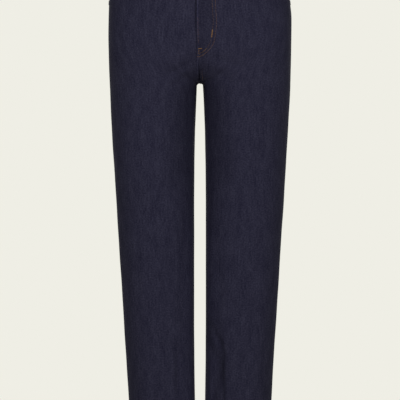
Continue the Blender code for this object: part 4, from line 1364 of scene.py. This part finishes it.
class JEANS_OT_slider(Operator):
    """Model the zip's slider with its tab hanging down"""
    bl_idname = "jeans.slider"
    bl_label = "Zip slider"

    def execute(self, context):
        made = start_piece("zip_slider_and_tab", bpy.ops.mesh.primitive_cube_add, size=1)
        made.scale = (0.0080, 0.0090, 0.0020)
        bpy.ops.object.transform_apply(location=False, rotation=False, scale=True)
        edit(made, (
            (lambda c, n: n.y < -0.9, resize(0.62, 1, 1)),
            (lambda c, n: n.y < -0.9, extrude(0, -0.0012, 0)),
            (lambda c, n: n.y < -0.9 and c.y < -0.005, extrude(0, -0.0120, 0)),
            (lambda c, n: n.y < -0.9 and c.y < -0.015, resize(0.8, 1, 1)),
            (lambda c, n: abs(n.z) > 0.9 and c.y < -0.007, inset(0.0012)),
            (lambda c, n: abs(n.z) > 0.9 and c.y < -0.007 and abs(c.x) < 0.001, resize(1, 1, 0.4)),
        ))
        place, turn = facing_out(front_drop(-0.0375), ZIP_MIDDLE, SLIDER_FACE - SLIDER_THICKNESS / 2)
        finish_piece(made, place, turn, 0.0002, ("zip_slider",))
        return {"FINISHED"}


# ---------------------------------------------------------------- topstitching


def threads(name, ends, normals, radius, slot="thread"):
    """Short threads between pairs of points, arched out of the cloth and sunk at their ends."""
    ends, normals = np.asarray(ends), np.asarray(normals)
    along = ends[:, 1] - ends[:, 0]
    aside = unit(np.cross(unit(along), normals))
    radius = np.broadcast_to(radius, len(ends))[:, None]
    turns = np.arange(6) * math.pi / 3
    rings = []
    for share, size, lift in ((0.0, 0.45, -0.9), (0.2, 1.0, 0.2), (0.8, 1.0, 0.2), (1.0, 0.45, -0.9)):
        for turn in turns:
            rings.append(ends[:, 0] + along * share + radius * (
                normals * (lift + size * math.sin(turn)) + aside * size * math.cos(turn)))
    points = np.stack(rings, 1)
    faces = [[6 * r + k, 6 * r + (k + 1) % 6, 6 * r + 6 + (k + 1) % 6, 6 * r + 6 + k]
             for r in range(3) for k in range(6)]
    start = (np.arange(len(ends)) * 24)[:, None, None]
    quads = (start + np.array(faces)).reshape(-1, 4).tolist()
    caps = [[*range(5, -1, -1)], [*range(18, 24)]]
    quads += (start + np.array(caps)).reshape(-1, 6).tolist()
    mesh = bpy.data.meshes.new(name)
    mesh.from_pydata(points.reshape(-1, 3).tolist(), [], quads)
    mesh.materials.append(finish_of(slot))
    mesh.shade_smooth()
    mesh.update()
    add_object(name, mesh)


class Sewing:
    """Collects the stitches of one group of seams after another."""

    def __init__(self):
        self.sizes = bpy.context.scene.jeans_sizes
        self.start()

    def start(self):
        """Begins a group."""
        self.ends, self.normals, self.chance = [], [], np.random.default_rng(11)

    def row(self, side, drops, rounds, out):
        """A row of lock stitches along some places."""
        drops, rounds, out = np.broadcast_arrays(drops, rounds, out)
        path = at(side, drops, rounds, out)
        lengths = lengths_along(path)
        stitch, gap = self.sizes.stitch_length, self.sizes.stitch_gap
        count = max(1, round((lengths[-1] + gap) / (stitch + gap)))
        pitch = (lengths[-1] + gap) / count
        for begin in np.arange(count) * pitch + self.chance.uniform(-0.05, 0.05, count) * pitch:
            stops = np.array((begin, begin + pitch - gap))
            d, r, o = (np.interp(stops, lengths, value) for value in (drops, rounds, out))
            self.ends.append(at(side, d, r, o))
            self.normals.append(outward(side, d.mean(), r.mean()))

    def front_row(self, side, places, over):
        """A row on a front's face."""
        self.row(side, *places, front_relief(side, *places) + over)

    def tack(self, side, drops, rounds, out, width=TACK_WIDTH, spacing=0.0008):
        """A bar tack along some places: short stitches packed across it."""
        drops, rounds, out = np.broadcast_arrays(np.asarray(drops, float), rounds, out)
        path = at(side, drops, rounds, out)
        lengths = lengths_along(path)
        tangent = unit(path[-1] - path[0])
        for stop in np.arange(0.0, lengths[-1], spacing):
            d, r, o = (np.interp(stop, lengths, value) for value in (drops, rounds, out))
            normal = outward(side, d, r)
            middle = at(side, d, r, o + 0.0003)
            lean = self.chance.uniform(-0.12, 0.12) * width * tangent
            reach = np.cross(tangent, normal) * width / 2 + lean
            self.ends.append(np.array((middle - reach, middle + reach)))
            self.normals.append(normal)

    def finish(self, name, slot="thread", share=1.0):
        """Makes the group's stitches one piece, in thread of a share of the usual width."""
        threads(name, self.ends, self.normals, self.sizes.thread_width / 2 * share, slot)
        self.start()


class JEANS_OT_topstitching(Operator):
    """Sew the visible rows of stitches and the bar tacks"""
    bl_idname = "jeans.topstitching"
    bl_label = "Topstitching"

    def execute(self, context):
        sewing = Sewing()
        raised = np.interp(np.arange(80), (48, 66), (0.0001, 0.0005))
        outer, inner = (front_places(LEFT, spots, 80) for spots in (FLY_OUTER_ROW, FLY_INNER_ROW))
        for places in (outer, inner):
            # the rows' ends are sewn twice
            sewing.front_row(LEFT, [place[60:] for place in places], raised[60:] + 0.0003)
        sewing.front_row(LEFT, outer, raised)
        for spots, width in ((FLY_TACK, 0.0023), (SEAM_TACK, 0.0018), (SEAM_TACK_TAIL, 0.0009)):
            places = front_places(LEFT, spots, 12)
            sewing.tack(LEFT, *places, front_relief(LEFT, *places), width, 0.0006)
        sewing.finish("fly_topstitching")
        sewing.front_row(LEFT, inner, 2 * raised)
        for spots in (FLY_EDGE_ROW, CROTCH_ROW):
            sewing.front_row(LEFT, front_places(LEFT, spots, 40), 0.0)
        sewing.finish("fly_fine_topstitching", share=0.65)
        for side in (LEFT, RIGHT):
            for distance in MOUTH_ROWS:
                drops, rounds = beside(*mouth_row(), -distance)
                keep = (drops > 0.004) & (rounds < SIDE_SEAM - 0.002)
                sewing.front_row(side, (drops[keep], rounds[keep]), LAID)
            places = np.linspace(SCOOP_DROP, SCOOP_DROP + 0.045, 8), np.full(8, SIDE_SEAM - 0.0045)
            sewing.tack(side, *places, front_relief(side, *places))
        sewing.finish("pocket_mouth_topstitching", "navy_thread")
        for side in (LEFT, RIGHT):
            for distance in SEAM_ROWS:
                rounds = np.linspace(SIDE_SEAM + 0.006, 1 - 0.002, 60)
                drops = yoke_seam(rounds) - distance / BACK_RISE
                sewing.row(side, drops, rounds, back_relief(side, drops, rounds) + LAID)
        for distance in SEAM_ROWS:
            drops = np.linspace(0.006, 1.0, 90)
            rounds = 1 - distance / ring_length(drops)
            sewing.row(LEFT, drops, rounds, back_relief(LEFT, drops, rounds) + LAID)
        sewing.finish("seat_and_yoke_topstitching")
        for side in (LEFT, RIGHT):
            for margin in POCKET_ROWS:
                sewing.row(side, *pocket_outline(margin), POCKET_LIFT + DENIM + 0.0006)
            for depth in POCKET_HEM_ROWS:
                down, across = np.full(30, depth / POCKET_DEEP), np.linspace(-0.965, 0.965, 30)
                sewing.row(side, *pocket_place(down, across), pocket_relief(down, across) + LAID)
            for across in (-0.93, 0.93):
                down = np.linspace(0.01, 0.09, 6)
                sewing.tack(side, *pocket_place(down, np.full(6, across)), pocket_relief(down, across))
        sewing.finish("back_pocket_topstitching")
        length = float(ring_length(0.0))
        rounds = np.linspace((0.002 - BAND_LAP) / length, 2 - (BAND_LAP + BAND_RAMP) / length, 400)
        for drop in BAND_ROWS:
            sewing.row(LEFT, np.full(400, drop), rounds, band_out(rounds) + 0.0002)
        drops = np.linspace(BAND_ROWS[0] - 0.001, BAND_ROWS[1] + 0.001, 20)
        sewing.row(LEFT, drops, (0.0024 - BAND_LAP) / length, BAND_OUT + 0.0004)
        sewing.finish("waistband_topstitching")
        for loop in BELT_LOOPS:
            for share in LOOP_ROWS:
                drops = np.linspace(-0.186, 0.048, 60)
                sewing.row(loop.side, drops, loop.round + share * LOOP_WIDTH / 2 / length,
                           loop_face(drops) + 0.0002)
            for drop in (-0.190, 0.053):
                rounds = loop.round + np.linspace(-0.9, 0.9, 8) * LOOP_WIDTH / 2 / length
                sewing.tack(loop.side, np.full(8, drop), rounds, loop_out(drop) + LOOP_THICKNESS, 0.0020)
        sewing.finish("belt_loop_topstitching")
        for side in (LEFT, RIGHT):
            sewing.row(side, np.full(200, HEM_TURN + 0.0030), np.linspace(0.0, 1.0, 200), LAID)
        sewing.finish("hem_topstitching")
        return {"FINISHED"}


# ---------------------------------------------------------------- stage


class JEANS_OT_stage(Operator):
    """Set the pale floor, the soft studio light and the level camera"""
    bl_idname = "jeans.stage"
    bl_label = "Stage"

    def execute(self, context):
        stage = context.scene.jeans_stage
        deselect()
        bpy.ops.mesh.primitive_plane_add(size=stage.floor_size, location=(0, 0, HEM - stage.floor_drop))
        floor = context.object
        floor.name = "pale_floor"
        bpy.ops.object.transform_apply(location=True, rotation=True, scale=True)
        finish, tree, shader = new_material("painted_studio_floor", roughness=0.9, specular=0.2)
        place = add_node(tree, "ShaderNodeTexCoord").outputs["Object"]
        patches = add_node(tree, "ShaderNodeTexNoise", {"Vector": place}, Scale=3.0).outputs["Fac"]
        painted = blend(tree, patches, [c * 0.97 for c in stage.backdrop], stage.backdrop)
        tree.links.new(painted, shader.inputs["Base Color"])
        floor.data.materials.append(finish)
        world = bpy.data.worlds.new("cream_studio")
        world.use_nodes = True
        tree = world.node_tree
        backdrop = tree.nodes["Background"]
        backdrop.inputs["Color"].default_value = (*stage.backdrop, 1)
        fill = add_node(tree, "ShaderNodeBackground", Color=(*stage.backdrop, 1), Strength=stage.fill)
        seen = add_node(tree, "ShaderNodeLightPath").outputs["Is Camera Ray"]
        mixed = add_node(tree, "ShaderNodeMixShader", {0: seen, 1: fill.outputs[0], 2: backdrop.outputs[0]})
        tree.links.new(mixed.outputs[0], tree.nodes["World Output"].inputs["Surface"])
        context.scene.world = world
        for lamp in LAMPS:
            bpy.ops.object.light_add(type="AREA", location=lamp.place)
            light = context.object
            light.name = lamp.name
            light.data.size = lamp.size
            light.data.energy = getattr(stage, lamp.power) * lamp.share
            aim = Vector(LAMPS_AIM) - Vector(lamp.place)
            light.rotation_euler = aim.to_track_quat("-Z", "Y").to_euler()
        bpy.ops.object.camera_add(location=(0, -stage.camera_distance, stage.camera_height),
                                  rotation=(math.pi / 2, 0, 0))
        camera = context.object
        camera.name = "level_camera"
        camera.data.sensor_width = 36
        camera.data.lens = 36 * stage.camera_distance / stage.view_width
        camera.data.clip_end = 100
        context.scene.camera = camera
        context.scene.view_settings.view_transform = "Standard"
        return {"FINISHED"}


PIECES = (JEANS_OT_fronts, JEANS_OT_backs, JEANS_OT_hems, JEANS_OT_front_pockets, JEANS_OT_back_pockets,
          JEANS_OT_fly, JEANS_OT_waistband, JEANS_OT_belt_loops, JEANS_OT_button, JEANS_OT_slider,
          JEANS_OT_topstitching)


def length_setting(name, description, default):
    """A setting that is a length in metres."""
    return FloatProperty(name=name, description=description, default=default, unit="LENGTH")


def share_setting(name, description, default):
    """A setting that is a share."""
    return FloatProperty(name=name, description=description, default=default, subtype="FACTOR")


def power_setting(name, description, default):
    """A setting that is a lamp's power in watts."""
    return FloatProperty(name=name, description=description, default=default, unit="POWER")


def colour_setting(name, description, hex_colour):
    """A setting that is a colour, given in sRGB hex."""
    return FloatVectorProperty(name=name, description=description, default=linear(hex_colour),
                               subtype="COLOR", min=0, max=1)


class JeansSizes(PropertyGroup):
    """Sizes of stitches and creases."""
    stitch_length: length_setting("Stitch", "Length of one stitch", 0.0021)
    stitch_gap: length_setting("Gap", "Between two stitches", 0.0011)
    thread_width: length_setting("Thread", "Width of the topstitching thread", 0.00052)
    crease_strength: share_setting("Creases", "How deep the creases are", 1.0)


class JeansLooks(PropertyGroup):
    """Colours of cloth, thread and metal."""
    denim_dark: colour_setting("Denim, dark yarn", "Deepest indigo of the warp", "#17162a")
    denim_light: colour_setting("Denim, slub", "Indigo where the yarn swells", "#3c3b4e")
    weft_dark: colour_setting("Wrong side, dark", "Indigo that shows between the weft", "#50587a")
    weft_light: colour_setting("Wrong side, light", "Undyed weft inside the garment", "#a3a8b4")
    thread: colour_setting("Thread", "Tobacco wrapping of the topstitching thread", "#7e4c23")
    thread_core: colour_setting("Thread core", "Paler core of that thread", "#857155")
    copper: colour_setting("Copper", "Plated button and zip slider", "#a8714f")


class JeansStage(PropertyGroup):
    """Floor, light and camera."""
    backdrop: colour_setting("Backdrop", "Colour of the studio", "#efeee5")
    fill: share_setting("Fill", "Light from all round, next to the backdrop's brightness", 0.30)
    floor_size: length_setting("Floor", "Side of the floor", 6.0)
    floor_drop: length_setting("Floor below hem", "Gap under the hems", 0.40)
    front_power: power_setting("Front softboxes", "Power of each large light in front", 37.0)
    back_power: power_setting("Back softboxes", "Power of each large light behind", 27.0)
    top_power: power_setting("Top softbox", "Power of the light from above", 20.0)
    camera_distance: length_setting("Camera distance", "From the middle of the garment", 5.0)
    camera_height: length_setting("Camera height", "Of the lens above the waistband's middle", -0.463)
    view_width: length_setting("View width", "What the view takes in at the side seams", 0.798)


GROUPS = (("jeans_sizes", JeansSizes), ("jeans_looks", JeansLooks), ("jeans_stage", JeansStage))


class JEANS_PT_pieces(Panel):
    """The jeans' pieces, in the order they are sewn"""
    bl_label = "Straight-leg jeans"
    bl_idname = "JEANS_PT_pieces"
    bl_space_type = "VIEW_3D"
    bl_region_type = "UI"
    bl_category = "Jeans"

    def draw(self, context):
        """Lists the operators in order, then the settings."""
        for operator in (*PIECES, JEANS_OT_stage):
            self.layout.operator(operator.bl_idname)
        for name, group in GROUPS:
            box = self.layout.box()
            for setting in group.__annotations__:
                box.prop(getattr(context.scene, name), setting)


def register():
    """Adds the settings, the operators and the panel."""
    for name, group in GROUPS:
        bpy.utils.register_class(group)
        setattr(bpy.types.Scene, name, PointerProperty(type=group))
    for kind in (*PIECES, JEANS_OT_stage, JEANS_PT_pieces):
        bpy.utils.register_class(kind)


def unregister():
    """Takes them away again."""
    for kind in (JEANS_PT_pieces, JEANS_OT_stage, *reversed(PIECES)):
        bpy.utils.unregister_class(kind)
    for name, group in reversed(GROUPS):
        delattr(bpy.types.Scene, name)
        bpy.utils.unregister_class(group)


def main():
    """Sews the jeans and sets the stage."""
    register()
    bpy.ops.jeans.fronts()
    bpy.ops.jeans.backs()
    bpy.ops.jeans.hems()
    bpy.ops.jeans.front_pockets()
    bpy.ops.jeans.back_pockets()
    bpy.ops.jeans.fly()
    bpy.ops.jeans.waistband()
    bpy.ops.jeans.belt_loops()
    bpy.ops.jeans.button()
    bpy.ops.jeans.slider()
    bpy.ops.jeans.topstitching()
    bpy.ops.jeans.stage()


if __name__ == "__main__":
    main()
